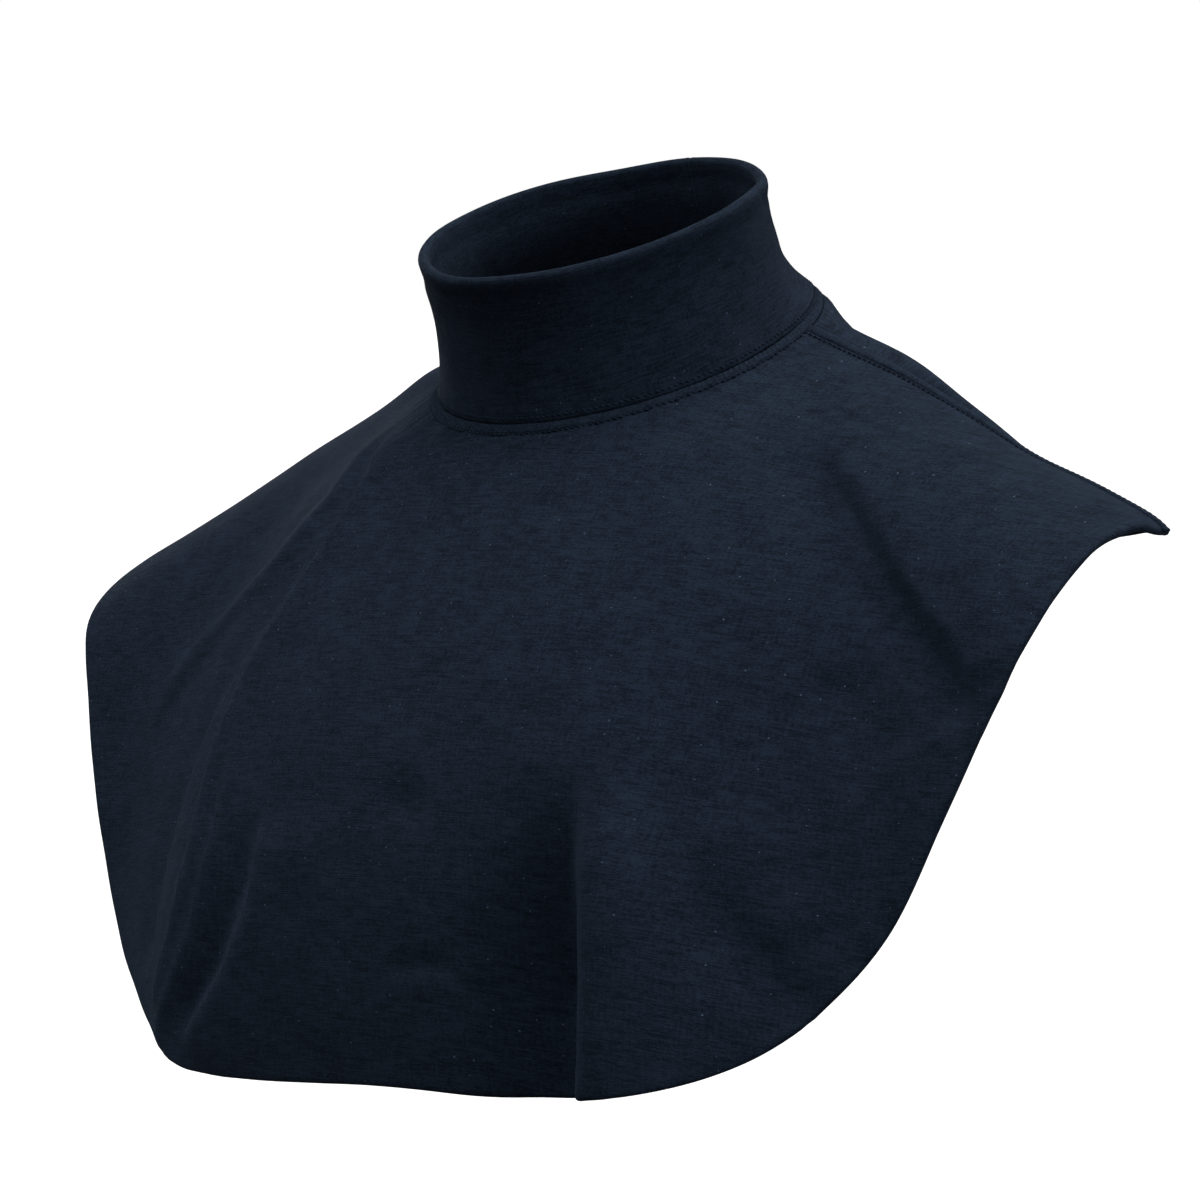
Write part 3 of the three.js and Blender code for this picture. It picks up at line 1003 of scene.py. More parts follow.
@dataclass(frozen=True)
class Panel:
    """The front or the back of the dickey: one cloth with its cut edge turned under.

    Attributes:
        name: The piece's name.
        drape: Its outside.
        steps: Spans from one shoulder seam to the other.
        rows: Spans from the neck to the cut edge.
        wall: Thickness of the cloth.
        edge_turns: Spans round the folded edge.
        hem_ply: Thickness of the turned cloth under the panel.
        hem_gap: Gap between the panel and the turned cloth.
        hem_width: Width of the turned cloth.
        flat: Width and length of the cut piece. Not used.
    """

    name: str
    drape: Drape
    steps: int
    rows: int
    flat: tuple[float, float]
    wall: float = 1.8 * MM
    edge_turns: int = 8
    hem_ply: float = 1.2 * MM
    hem_gap: float = 0.2 * MM
    hem_width: float = 8 * MM

    def _edge_radius(self) -> float:
        """Half the thickness of the folded edge."""
        return (self.wall + self.hem_gap + self.hem_ply) / 2.0

    def _grid(self) -> tuple[np.ndarray, np.ndarray]:
        """Sides and drops of the cloth's rows, which stop where the folded edge starts."""
        side = np.linspace(-1.0, 1.0, self.steps + 1)
        last = self.drape.edge_drop(side, self._edge_radius())
        drop = last[:, None] * np.linspace(0.0, 1.0, self.rows + 1)
        return np.broadcast_to(side[:, None], drop.shape), drop

    def build(self) -> bpy.types.Object:
        """Makes the cloth."""
        side, drop = self._grid()
        outer = self.drape.cloth(side, drop)
        along, crossing = np.gradient(outer, axis=1), np.gradient(outer, axis=0)
        normal = unit(np.cross(crossing, along) * self.drape.outward)
        seam_normals = self.drape.normals(side[[0, -1]], drop[[0, -1]])
        normal[0], normal[-1] = seam_normals[0], seam_normals[1]
        inner = outer - normal * self.wall
        radius = self._edge_radius()
        ahead = unit(along[:, -1:])
        turn = np.linspace(0.0, math.pi, self.edge_turns + 1)[1:, None]
        arc = outer[:, -1:] + ahead * radius * np.sin(turn) + normal[:, -1:] * radius * (np.cos(turn) - 1.0)
        loops = np.concatenate([outer, arc, inner[:, ::-1]], axis=1)
        if loops.shape[1] % 2:
            loops = np.concatenate([loops, (inner[:, :1] + outer[:, :1]) / 2.0], axis=1)
        outer_chart = self.drape.chart(outer)
        arc_chart = self.drape.chart(outer[:, -1:] + ahead * radius * turn)
        charts = np.concatenate([outer_chart, arc_chart, outer_chart[:, ::-1]], axis=1)
        if charts.shape[1] < loops.shape[1]:
            charts = np.concatenate([charts, outer_chart[:, :1]], axis=1)
        return MeshMaker.loft(self.name, loops, charts, closed=False)

    def hem(self, name: str) -> bpy.types.Object:
        """Makes the cloth turned under along the cut edge.

        Args:
            name: The piece's name.

        Returns:
            The piece.
        """
        side = np.linspace(-1.0, 1.0, self.steps + 1)
        radius = self._edge_radius()
        near = self.drape.edge_drop(side, radius - 0.3 * MM)
        far = self.drape.edge_drop(side, self.hem_width)
        shares = np.linspace(0.0, 1.0, 7)
        drop = near[:, None] + (far - near)[:, None] * shares
        sides = np.broadcast_to(side[:, None], drop.shape)
        cloth = self.drape.cloth(sides, drop)
        normal = self.drape.normals(sides, drop)
        top = self.wall + self.hem_gap * 0.5
        bottom = 2.0 * radius
        rounding = np.array([0.0, 0.0, 0.0, 0.0, 0.0, 0.12, 0.5]) * self.hem_ply
        upper = cloth - normal * (top + rounding * 0.4)[:, None]
        lower = cloth - normal * (bottom - rounding)[:, None]
        loops = np.concatenate([upper, lower[:, ::-1]], axis=1)
        chart = self.drape.chart(cloth)
        return MeshMaker.loft(name, loops, np.concatenate([chart, chart[:, ::-1]], axis=1), closed=False)

    def edge_path(self, inset: float, reach: tuple[float, float] = (-0.985, 0.985), count: int = 900) -> Path:
        """A line at a distance from the cut edge.

        Args:
            inset: The distance.
            reach: The sides between which it runs.
            count: How many places it has.

        Returns:
            The line, on the cloth's outside.
        """
        side = np.linspace(*reach, count)
        drop = self.drape.edge_drop(side, inset)
        return self.drape.path(side, drop, crossing_down=True)


@dataclass(frozen=True)
class Collar:
    """The turtleneck collar: one strip folded over at the rim, its two plies side by side.

    Attributes:
        name: The piece's name.
        ring: The ring that it stands on.
        rim_half_width: Half its width at the rim.
        rim_half_depth: Half its depth at the rim.
        height: Its height.
        ply: Thickness of one ply.
        gap: Gap between the plies.
        clearance: Gap over the ring.
        lean: How much higher the rim stands over the wearer's right front than on average.
        stations: Heights of its profile, as shares.
        narrowing: How far each station goes from the ring's size to the rim's size.
        steps: Spans round it.
        rows: Spans from the ring to the rim.
        rim_turns: Spans over the rim.
        join_reach: Half the angle round the join in the back that has finer spans, in radians.
        join_steps: Spans in that angle.
    """

    name: str
    ring: NeckRing
    rim_half_width: float = 68 * MM
    rim_half_depth: float = 67 * MM
    height: float = 50 * MM
    ply: float = 1.6 * MM
    gap: float = 0.4 * MM
    clearance: float = 0.3 * MM
    lean: float = 1.9 * MM
    stations: tuple[float, ...] = (0.0, 0.12, 0.35, 0.7, 1.0)
    narrowing: tuple[float, ...] = (0.0, 0.5, 1.15, 1.6, 1.1)
    steps: int = 240
    rows: int = 34
    rim_turns: int = 12
    join_reach: float = 0.055
    join_steps: int = 22

    def _angles(self) -> np.ndarray:
        """Angles of the loops, with more of them at the join in the back."""
        even = np.linspace(0.0, 2.0 * math.pi, self.steps, endpoint=False)
        join = math.pi + np.linspace(-self.join_reach, self.join_reach, self.join_steps + 1)
        return np.unique(np.round(np.concatenate([even, join]), 6))

    def _relief(self, angle: np.ndarray, share: np.ndarray, outside: float) -> np.ndarray:
        """How far the cloth stands out at places round the collar and up it.

        Args:
            angle: Angles round it.
            share: Heights as shares of the collar's height.
            outside: 1 on the outer ply, -1 on the inner one.

        Returns:
            A distance for each place.
        """
        rim = bell((share - 0.975) / 0.05) * 0.35 * MM - bell((share - 0.88) / 0.045) * 0.28 * MM
        sway = (0.7 * np.sin(2 * angle + 0.6) + 0.45 * np.sin(3 * angle + 2.1)) * MM * share
        ruffle = 0.22 * np.sin(7 * angle + 1.0 + 2 * share) + 0.16 * np.sin(11 * angle + 3 * share)
        sway = sway + ruffle * MM
        turned = np.mod(angle, 2.0 * math.pi)
        shoulder = bell((turned - math.radians(128)) / 0.36)
        kink = -shoulder * bell((share - 0.34) / 0.16) * 1.5 * MM
        kink = kink + shoulder * bell((share - 0.03) / 0.09) * 2.3 * MM
        slanted = share - 0.9 + 0.6 * (turned - 2.04)
        tip = bell((turned - math.radians(117)) / 0.1) * bell(slanted / 0.06) * -0.7 * MM
        tuck = bell((turned - math.radians(316)) / 0.4) * bell((share - 1.0) / 0.14) * -2.4 * MM
        flare = bell((turned - math.radians(308)) / 0.3) * bell(share / 0.16) * 1.1 * MM
        from_join = turned - math.pi
        join = bell(from_join / 0.008) * -0.14 * MM
        join = join + bell((np.abs(from_join) - 0.022) / 0.012) * 0.08 * MM
        gathers = bell(share / 0.1) * 0.14 * MM * np.sin(46 * angle) - bell((share - 0.035) / 0.02) * 0.3 * MM
        return outside * (rim + join + gathers) + sway + kink + tip + tuck + flare

    def _top(self, angle: np.ndarray) -> np.ndarray:
        """Heights of the rim's fold, which stands highest over the wearer's right and sags behind."""
        turned = np.mod(angle, 2.0 * math.pi)
        sag = bell((turned - math.radians(205)) / 0.45) * -2.1 * MM
        sag = sag + bell((turned - math.radians(281)) / 0.35) * 1.4 * MM
        sag = sag + smooth_step((np.cos(turned - math.radians(30)) + 0.25) / 0.75) * 3.7 * MM
        return self.height - self._radius() + self.lean * (0.35 + np.cos(angle - math.radians(300))) + sag

    def _wall(self, angle: np.ndarray, share: np.ndarray, inset: float, outside: float) -> np.ndarray:
        """Places on one face of a ply.

        Args:
            angle: Angles of the loops.
            share: Heights as shares.
            inset: How far the face lies inside the collar's outside.
            outside: 1 for a face of the outer ply, -1 for one of the inner ply.

        Returns:
            Places as (angle, share, axis).
        """
        turned, up = np.meshgrid(angle, share, indexing="ij")
        narrowing = smooth_through(self.stations, self.narrowing, up)
        out = self._relief(turned, up, outside) - inset
        half_width = self.ring.half_width + (self.rim_half_width - self.ring.half_width) * narrowing + out
        half_depth = self.ring.half_depth + (self.rim_half_depth - self.ring.half_depth) * narrowing + out
        height = self.clearance + (self._top(turned) - self.clearance) * up
        return self.ring.places(turned, half_width, half_depth, height)

    def _radius(self) -> float:
        """Half the thickness of the folded collar."""
        return self.ply + self.gap / 2.0

    def base_path(self, share: float, count: int = 720) -> Path:
        """A line round the collar's outside.

        Args:
            share: How far up the collar it runs, as a share of the height.
            count: How many places it has.

        Returns:
            The closed line, whose crossings point down the collar.
        """
        angle = np.linspace(0.0, 2.0 * math.pi, count, endpoint=False)
        points = self._wall(angle, np.array([share]), 0.0, 1.0)[:, 0]
        below = unit(self._wall(angle, np.array([share - 0.02]), 0.0, 1.0)[:, 0] - points)
        along = unit(np.roll(points, -1, axis=0) - np.roll(points, 1, axis=0))
        return Path(points, unit(np.cross(below, along)), below, closed=True)

    def build(self) -> bpy.types.Object:
        """Makes the folded strip."""
        angle = self._angles()
        share = np.linspace(0.0, 1.0, self.rows + 1)
        coarse = np.linspace(0.0, 1.0, self.rows // 3 + 1)
        thickness = 2.0 * self._radius()
        outer = self._wall(angle, share, 0.0, 1.0)
        inner = self._wall(angle, share, thickness, -1.0)
        inner_lining = self._wall(angle, coarse, self.ply + self.gap, -1.0)
        outer_lining = self._wall(angle, coarse, self.ply, 1.0)

        def over(first: np.ndarray, second: np.ndarray, turns: int) -> np.ndarray:
            """Places on a half circle from one face's top to the other's."""
            turn = np.linspace(0.0, math.pi, turns + 1)[1:-1, None]
            middle, half = (first + second) / 2.0, (first - second) / 2.0
            lean = math.radians(self.ring.tilt)
            upward = np.array([0.0, -math.sin(lean), math.cos(lean)])
            size = np.linalg.norm(half, axis=-1, keepdims=True)
            return middle + half * np.cos(turn) + upward * size * np.sin(turn)

        rim = over(outer[:, -1:], inner[:, -1:], self.rim_turns)
        lining = over(inner_lining[:, -1:], outer_lining[:, -1:], 4)
        faces = [outer, rim, inner[:, ::-1], inner_lining, lining, outer_lining[:, ::-1]]
        loops = np.concatenate(faces, axis=1)
        rim_length = math.pi * self._radius()
        up = share * self.height
        over_rim = self.height + np.linspace(0.0, rim_length, self.rim_turns + 1)[1:-1]
        down = self.height + rim_length + up
        inner_up = self.height + rim_length + coarse[::-1] * self.height
        heights = np.concatenate(
            [up, over_rim, down, inner_up, np.full(lining.shape[1], self.height), coarse[::-1] * self.height]
        )
        rounds = np.append(angle, 2.0 * math.pi) * self.ring.half_width
        charts = np.stack(np.meshgrid(rounds, heights, indexing="ij"), axis=-1)
        return MeshMaker.loft(self.name, loops, charts, closed=True)


@dataclass(frozen=True)
class Welt:
    """A raised seam: cloth pinched up between or beside rows of stitches.

    Attributes:
        name: The piece's name.
        width: Its width.
        height: Its height over the cloth.
        pitch: Distance from stitch to stitch.
        fullness: How square its section is. 1 is an even round.
        sunk: How deep its underside lies in the cloth.
        spans_per_stitch: Spans along it for each stitch.
        arc: Spans over its top.
    """

    name: str
    width: float
    height: float
    pitch: float = 2.3 * MM
    fullness: float = 2.4
    sunk: float = 0.5 * MM
    spans_per_stitch: int = 6
    arc: int = 12

    def stitches(self, path: Path) -> int:
        """How many stitches its line holds."""
        return max(1, round(path.length() / self.pitch))

    def build(self, path: Path) -> bpy.types.Object:
        """Makes the welt along a line.

        Args:
            path: Its middle line, on the cloth.

        Returns:
            The piece.
        """
        count = self.stitches(path) * self.spans_per_stitch
        line = path.resampled(count if path.closed else count + 1)
        station = line.stations()[: len(line.points)]
        step = path.length() / self.stitches(path)
        pinch = np.cos(2.0 * math.pi * station / step)[:, None]
        over = np.cos(np.linspace(math.pi, 0.0, self.arc + 1))[None, :]
        edge = np.abs(over) ** 3
        slant = np.cos(2.0 * math.pi * station[:, None] / step + 1.6 * over)
        rise = np.clip(1.0 - np.abs(over) ** self.fullness, 0.0, 1.0) ** 0.75
        rise = rise * (1.0 + 0.1 * slant) - edge * 0.10 * (1.0 + pinch)
        wide = self.width / 2.0 * (1.0 - 0.05 * (1.0 + pinch) * edge)
        top = (
            line.points[:, None]
            + line.crossings[:, None] * (over * wide)[..., None]
            + line.normals[:, None] * (rise * self.height)[..., None]
        )
        below = np.linspace(0.75, -0.75, self.arc + 1)[None, :, None]
        under = line.points[:, None] + line.crossings[:, None] * below * self.width / 2.0
        under = under - line.normals[:, None] * self.sunk
        loops = np.concatenate([top, under], axis=1)
        stations = np.append(station, path.length()) if path.closed else station
        across = np.concatenate([over[0], over[0, ::-1]]) * self.width / 2.0
        charts = np.stack(np.meshgrid(stations, across, indexing="ij"), axis=-1)
        return MeshMaker.loft(self.name, loops, charts, closed=path.closed)


@dataclass(frozen=True)
class StitchRow:
    """A row of stitches, each a short arch of thread whose ends dive into the cloth.

    Attributes:
        name: The piece's name.
        pitch: Distance from stitch to stitch.
        share: How much of the pitch a stitch covers.
        thickness: The thread's thickness.
        arch: How high a stitch stands over its ends.
        slant: How far a stitch leans across the row, as a share of its length.
        sides: Sides of the thread.
        seed: Seed of the small differences between stitches.
    """

    name: str
    pitch: float = 2.3 * MM
    share: float = 0.66
    thickness: float = 0.62 * MM
    arch: float = 0.32 * MM
    slant: float = 0.22
    sides: int = 6
    seed: int = 11

    def build(self, paths: Sequence[Path]) -> bpy.types.Object:
        """Makes the row along one or more lines.

        Args:
            paths: The lines that the thread follows.

        Returns:
            One piece with every stitch.
        """
        random = np.random.default_rng(self.seed)
        points, faces, charts = [], [], []
        start = 0
        for path in paths:
            made_points, made_faces, made_charts = self._along(path, random, start)
            points.append(made_points)
            faces.extend(made_faces)
            charts.append(made_charts)
            start += len(made_points)
        return MeshMaker.from_faces(self.name, np.vstack(points), faces, np.vstack(charts))

    def _along(
        self, path: Path, random: np.random.Generator, start: int
    ) -> tuple[np.ndarray, list, np.ndarray]:
        """Makes the stitches of one line.

        Args:
            path: The line.
            random: The source of small differences.
            start: The number of its first corner.

        Returns:
            Corners, faces and the faces' chart places.
        """
        count = max(2, round(path.length() / self.pitch))
        line = path.resampled(count)
        along, crossing, normal = line.alongs(), line.crossings, line.normals
        jitter = random.normal(0.0, 1.0, (count, 3))
        lean = self.slant + 0.06 * jitter[:, :1]
        direction = unit(along + crossing * lean)
        length = self.pitch * self.share * (1.0 + 0.05 * jitter[:, 1:2])
        centre = line.points + crossing * 0.04 * MM * jitter[:, 2:3]
        share = np.array([-1.0, -0.8, -0.4, 0.0, 0.4, 0.8, 1.0])
        height = self.arch * (1.0 - share**2) ** 0.8 - 0.15 * MM
        radius = self.thickness / 2.0 * np.sqrt(1.0 - 0.55 * share**4)
        spine = centre[:, None] + direction[:, None] * (length / 2.0)[:, None] * share[None, :, None]
        spine = spine + normal[:, None] * height[None, :, None]
        beside = unit(np.cross(direction, normal))
        turn = np.linspace(0.0, 2.0 * math.pi, self.sides, endpoint=False)
        round_off = beside[:, None, None] * np.cos(turn)[None, None, :, None]
        round_off = round_off + normal[:, None, None] * np.sin(turn)[None, None, :, None]
        rings = spine[:, :, None] + round_off * radius[None, :, None, None]
        size = len(share) * self.sides
        span, corner = np.meshgrid(np.arange(len(share) - 1), np.arange(self.sides), indexing="ij")
        other = (corner + 1) % self.sides
        here, beyond = span * self.sides, (span + 1) * self.sides
        corners = [here + corner, beyond + corner, beyond + other, here + other]
        quads = np.stack(corners, axis=-1).reshape(-1, 4)
        first_cap = list(range(self.sides))
        last_cap = list(range(size - 1, size - 1 - self.sides, -1))
        faces = []
        for stitch in range(count):
            shift = start + stitch * size
            faces.extend((quads + shift).tolist())
            faces.append([shift + corner_number for corner_number in first_cap])
            faces.append([shift + corner_number for corner_number in last_cap])
        station = np.repeat(share * self.pitch / 2.0, self.sides)
        round_share = np.tile(turn * self.thickness / 2.0, len(share))
        chart = np.stack([station, round_share], axis=-1)
        one = np.vstack([chart[quads].reshape(-1, 2), chart[first_cap], chart[last_cap]])
        return rings.reshape(-1, 3), faces, np.tile(one, (count, 1))


@dataclass(frozen=True)
class Seams:
    """Where the dickey is sewn, and the welts and stitches there.

    Attributes:
        front: The front panel.
        back: The back panel.
        collar: The collar.
        upper_row: How far up the collar the upper row of stitches runs, as a share of its height.
        neck_offset: How far from the ring the neck seam's middle lies.
        neck_width: The neck seam's width.
        neck_height: The neck seam's height.
        shoulder_offset: How far in front of the join a shoulder seam's middle lies.
        shoulder_width: A shoulder seam's width.
        shoulder_height: A shoulder seam's height.
        pitch: Distance from stitch to stitch.
        easing: How many neighbours on each side the neck seam's places are averaged with.
        neck_row: How far from the neck seam's middle its lower stitches run, as a share of half its width.
        shoulder_row: The same for a shoulder seam's stitches.
        row_rise: How far the shoulder's stitches stand out of the cloth near the neck.
        row_sink: How far they sink from there on the way to the shoulder's end.
        hem_row: How far from the turned cloth's inner edge its stitches run.
        tack_inset: How far from the cut edge the edge tacks lie.
    """

    front: Panel
    back: Panel
    collar: Collar
    upper_row: float = 0.04
    neck_offset: float = 2.0 * MM
    neck_width: float = 5.2 * MM
    neck_height: float = 1.35 * MM
    shoulder_offset: float = 2.6 * MM
    shoulder_width: float = 4.8 * MM
    shoulder_height: float = 1.0 * MM
    pitch: float = 2.3 * MM
    easing: int = 5
    neck_row: float = 0.94
    shoulder_row: float = 0.82
    row_rise: float = 0.35 * MM
    row_sink: float = 0.9 * MM
    hem_row: float = 1.8 * MM
    tack_inset: float = 2.4 * MM

    def neck_path(self, offset: float, count: int = 720) -> Path:
        """The line round the neck at a distance from the ring.

        Args:
            offset: The distance.
            count: How many places it has.

        Returns:
            The closed line, from the front round the wearer's left.
        """
        turn = np.linspace(0.0, 2.0, count, endpoint=False)
        on_front = (turn <= 0.5) | (turn >= 1.5)
        along = np.where(turn <= 1.0, turn, turn - 2.0)
        side = np.where(on_front, along * 2.0, np.sign(along) * 2.0 * (1.0 - np.abs(along)))
        points, normals, crossings = (np.zeros((count, 3)) for _ in range(3))
        for panel, chosen in ((self.front, on_front), (self.back, ~on_front)):
            drape = panel.drape
            part = drape.path(side[chosen], drape.share_of(side[chosen], offset), crossing_down=True)
            points[chosen], normals[chosen], crossings[chosen] = part.points, part.normals, part.crossings

        def eased(values: np.ndarray) -> np.ndarray:
            """Values averaged with their neighbours, so that no seam turns sharply."""
            shifts = range(-self.easing, self.easing + 1)
            return sum(np.roll(values, shift, axis=0) for shift in shifts) / len(shifts)

        return Path(eased(points), unit(eased(normals)), unit(eased(crossings)), closed=True)

    def shoulder_path(self, sign: float, offset: float, count: int = 200) -> Path:
        """The line along a shoulder at a distance in front of the join.

        Args:
            sign: 1 for the wearer's left, -1 for the right.
            offset: The distance.
            count: How many places it has.

        Returns:
            The line from the neck seam to the cut edge.
        """
        drape = self.front.drape
        start = float(drape.share_of(np.array([sign]), self.neck_offset + self.neck_width / 2.0)[0])
        drop = np.linspace(start, 0.995, count)
        seam = drape.plain(np.full(count, sign), drop)
        near = drape.plain(np.full(count, sign * (1.0 - PROBE)), drop)
        side = sign * (1.0 - offset * PROBE / np.linalg.norm(seam - near, axis=-1))
        return drape.path(side, drop, crossing_down=False)

    def neck_welt(self) -> bpy.types.Object:
        """Makes the raised seam round the neck."""
        welt = Welt("neck_seam_welt", self.neck_width, self.neck_height, self.pitch)
        return welt.build(self.neck_path(self.neck_offset))

    def shoulder_welt(self, name: str, sign: float) -> bpy.types.Object:
        """Makes the raised seam along one shoulder."""
        welt = Welt(name, self.shoulder_width, self.shoulder_height, self.pitch, fullness=4.0)
        return welt.build(self.shoulder_path(sign, self.shoulder_offset))

    def neck_stitches(self) -> list[bpy.types.Object]:
        """Makes the two rows of stitches round the neck."""
        upper_path = self.collar.base_path(self.upper_row)
        upper = StitchRow("neck_stitches_upper", self.pitch, seed=3).build([upper_path])
        path = self.neck_path(self.neck_offset)
        reach = self.neck_width / 2.0 * self.neck_row
        lower = StitchRow("neck_stitches_lower", self.pitch, seed=4).build([path.shifted(reach, 0.25 * MM)])
        return [upper, lower]

    def shoulder_stitches(self) -> bpy.types.Object:
        """Makes the row of stitches along each shoulder seam, whose thread sinks in past halfway."""
        reach = self.shoulder_offset + self.shoulder_width / 2.0 * self.shoulder_row
        paths = []
        for sign in (1.0, -1.0):
            path = self.shoulder_path(sign, reach)
            share = np.linspace(0.0, 1.0, len(path.points))
            rise = self.row_rise - self.row_sink * smooth_step((share - 0.5) / 0.2)
            points = path.points + path.normals * rise[:, None]
            paths.append(Path(points, path.normals, path.crossings, closed=False))
        return StitchRow("shoulder_stitches", self.pitch, seed=6).build(paths)

    def hem_stitches(self, name: str, panel: Panel) -> bpy.types.Object:
        """Makes the row of stitches that holds a hem down, seen on the inside of the cloth.

        Args:
            name: The piece's name.
            panel: The panel with the hem.

        Returns:
            The piece.
        """
        depth = panel.wall + panel.hem_gap + panel.hem_ply
        path = panel.edge_path(panel.hem_width - self.hem_row)
        inside = Path(path.points - path.normals * depth, -path.normals, path.crossings, closed=False)
        return StitchRow(name, 2.9 * MM, thickness=0.42 * MM, arch=0.2 * MM, seed=8).build([inside])

    def edge_tacks(self) -> bpy.types.Object:
        """Makes the few stitches that show beside the front's cut edge, where it rolls outward."""
        path = self.front.edge_path(self.tack_inset, reach=(-0.05, 0.08), count=300)
        row = StitchRow(
            "hem_edge_tacks", 3.4 * MM, share=0.5, thickness=0.42 * MM, arch=0.16 * MM, slant=0.5, seed=9
        )
        return row.build([path.shifted(0.0, 0.05 * MM)])


def front_sections() -> tuple[Section, ...]:
    """The front's sections, from the centre front to the shoulder seam."""
    return (
        Section(0, 0.0, 1.0, 1.0, 47, 92, 0.33, 0.45),
        Section(20, 0.253, 0.985, 1.0, 46, 91, 0.33, 0.45),
        Section(35, 0.454, 0.93, 0.98, 43, 88, 0.33, 0.45),
        Section(45, 0.585, 0.82, 0.94, 34, 84, 0.34, 0.42),
        Section(54, 0.699, 0.725, 0.86, 31, 80, 0.34, 0.42),
        Section(63, 0.79, 0.652, 0.73, 31, 76, 0.33, 0.42),
        Section(72, 0.865, 0.596, 0.53, 32, 68, 0.3, 0.4),
        Section(80, 0.926, 0.534, 0.325, 32, 58, 0.3, 0.34),
        Section(87, 0.965, 0.449, 0.145, 30, 42, 0.3, 0.3),
        Section(94, 0.991, 0.298, 0.035, 27, 34, 0.3, 0.25),
        Section(101, 1.0, 0.129, 0.005, 25, 33, 0.3, 0.22),
        Section(107, 0.97, 0.0, 0.0, 24, 32, 0.3, 0.22),
    )


def back_sections() -> tuple[Section, ...]:
    """The back's sections, from the centre back to the shoulder seam that it shares with the front."""
    return (
        Section(180, 0.0, 1.0, 1.0, 34, 82, 0.33, 0.36),
        Section(160, 0.24, 0.95, 0.92, 33, 78, 0.33, 0.36),
        Section(140, 0.48, 0.74, 0.56, 30, 62, 0.33, 0.32),
        Section(124, 0.72, 0.42, 0.14, 25, 44, 0.31, 0.27),
        Section(114, 0.875, 0.19, 0.01, 24, 36, 0.3, 0.24),
        front_sections()[-1],
    )


def front_folds() -> tuple[Fold, ...]:
    """The front's folds: long ones from the shoulders, and crisp ones near the cut edge."""
    crisp = Crest.CRISP
    return (
        Fold(
            "right chest ridge",
            ((-0.37, 0.06), (-0.225, 0.14), (-0.185, 0.25), (-0.178, 0.37), (-0.178, 0.5), (-0.172, 0.63),
             (-0.162, 0.76), (-0.178, 0.87), (-0.225, 0.99)),
            3.6 * MM, 12 * MM, 3.3 * MM, crisp, 0.12, 0.06,
        ),
        Fold(
            "right outer ridge",
            ((-0.44, 0.07), (-0.285, 0.21), (-0.31, 0.36), (-0.43, 0.57), (-0.48, 0.72), (-0.47, 0.83)),
            8 * MM, 6 * MM, 2.4 * MM, Crest.ROUND, 0.12, 0.3,
        ),
        Fold(
            "hollow between the ridges",
            ((-0.24, 0.24), (-0.235, 0.4), (-0.27, 0.6), (-0.29, 0.8), (-0.3, 0.97)),
            14 * MM, 7 * MM, -3.0 * MM, fade_out=0.12,
        ),
        Fold(
            "right hem crease",
            ((-0.15, 0.56), (-0.137, 0.64), (-0.132, 0.73), (-0.142, 0.84), (-0.168, 0.92), (-0.205, 0.995)),
            2.0 * MM, 5 * MM, 2.2 * MM, crisp, 0.25, 0.03,
        ),
        Fold(
            "inner hem crease",
            ((-0.083, 0.65), (-0.078, 0.745), (-0.086, 0.82), (-0.107, 0.893), (-0.155, 0.995)),
            2.2 * MM, 26 * MM, 3.6 * MM, crisp, 0.22, 0.1,
        ),
        Fold(
            "groove between the creases", ((-0.1, 0.68), (-0.1, 0.78), (-0.118, 0.88), (-0.165, 0.98)),
            6 * MM, 5 * MM, -3.0 * MM, fade_out=0.2,
        ),
        Fold(
            "centre pleat",
            ((0.166, 0.62), (0.164, 0.7), (0.162, 0.78), (0.16, 0.87), (0.158, 0.94), (0.157, 1.0)),
            3.6 * MM, 36 * MM, 7.2 * MM, crisp, 0.35,
        ),
        Fold(
            "centre hollow", ((0.15, 0.58), (0.145, 0.72), (0.139, 0.86), (0.132, 1.0)),
            30 * MM, 9 * MM, -26 * MM, fade_in=0.85,
        ),
        Fold("faint line beside the pleat", ((0.186, 0.82), (0.188, 1.0)), 1.8 * MM, 1.8 * MM, -0.6 * MM),
        Fold(
            "left lower dent", ((0.225, 0.62), (0.255, 0.77), (0.29, 0.86), (0.345, 0.96)),
            11 * MM, 9 * MM, -2.2 * MM,
        ),
        Fold(
            "left lower ridge", ((0.28, 0.66), (0.32, 0.8), (0.38, 0.93)),
            12 * MM, 22 * MM, 1.6 * MM, fade_out=0.2,
        ),
        Fold(
            "left chest dent",
            ((0.6, 0.25), (0.592, 0.33), (0.588, 0.5), (0.586, 0.62), (0.594, 0.74), (0.606, 0.83),
             (0.613, 0.96)),
            16 * MM, 5 * MM, -4.6 * MM, fade_out=0.1,
        ),
        Fold(
            "left chest ridge",
            ((0.625, 0.28), (0.62, 0.5), (0.618, 0.62), (0.63, 0.74), (0.645, 0.83), (0.652, 0.96)),
            4 * MM, 22 * MM, 2.4 * MM, fade_out=0.1,
        ),
        Fold(
            "left side dent", ((0.44, 0.6), (0.48, 0.73), (0.53, 0.86)),
            14 * MM, 12 * MM, -2.6 * MM, fade_out=0.3,
        ),
        Fold(
            "left shoulder ridge",
            ((0.72, 0.2), (0.752, 0.3), (0.79, 0.43), (0.812, 0.5), (0.836, 0.575), (0.862, 0.64),
             (0.9, 0.72)),
            1.8 * MM, 5 * MM, 0.8 * MM, crisp, 0.2, 0.3,
        ),
        Fold(
            "small blot dents", ((0.02, 0.86), (0.07, 0.845)),
            4 * MM, 4 * MM, -1.4 * MM, Crest.ROUND, 0.3, 0.3,
        ),
        Fold(
            "upper blot dents", ((0.0, 0.62), (0.05, 0.67)),
            8 * MM, 8 * MM, -2.0 * MM, Crest.ROUND, 0.3, 0.3,
        ),
    )


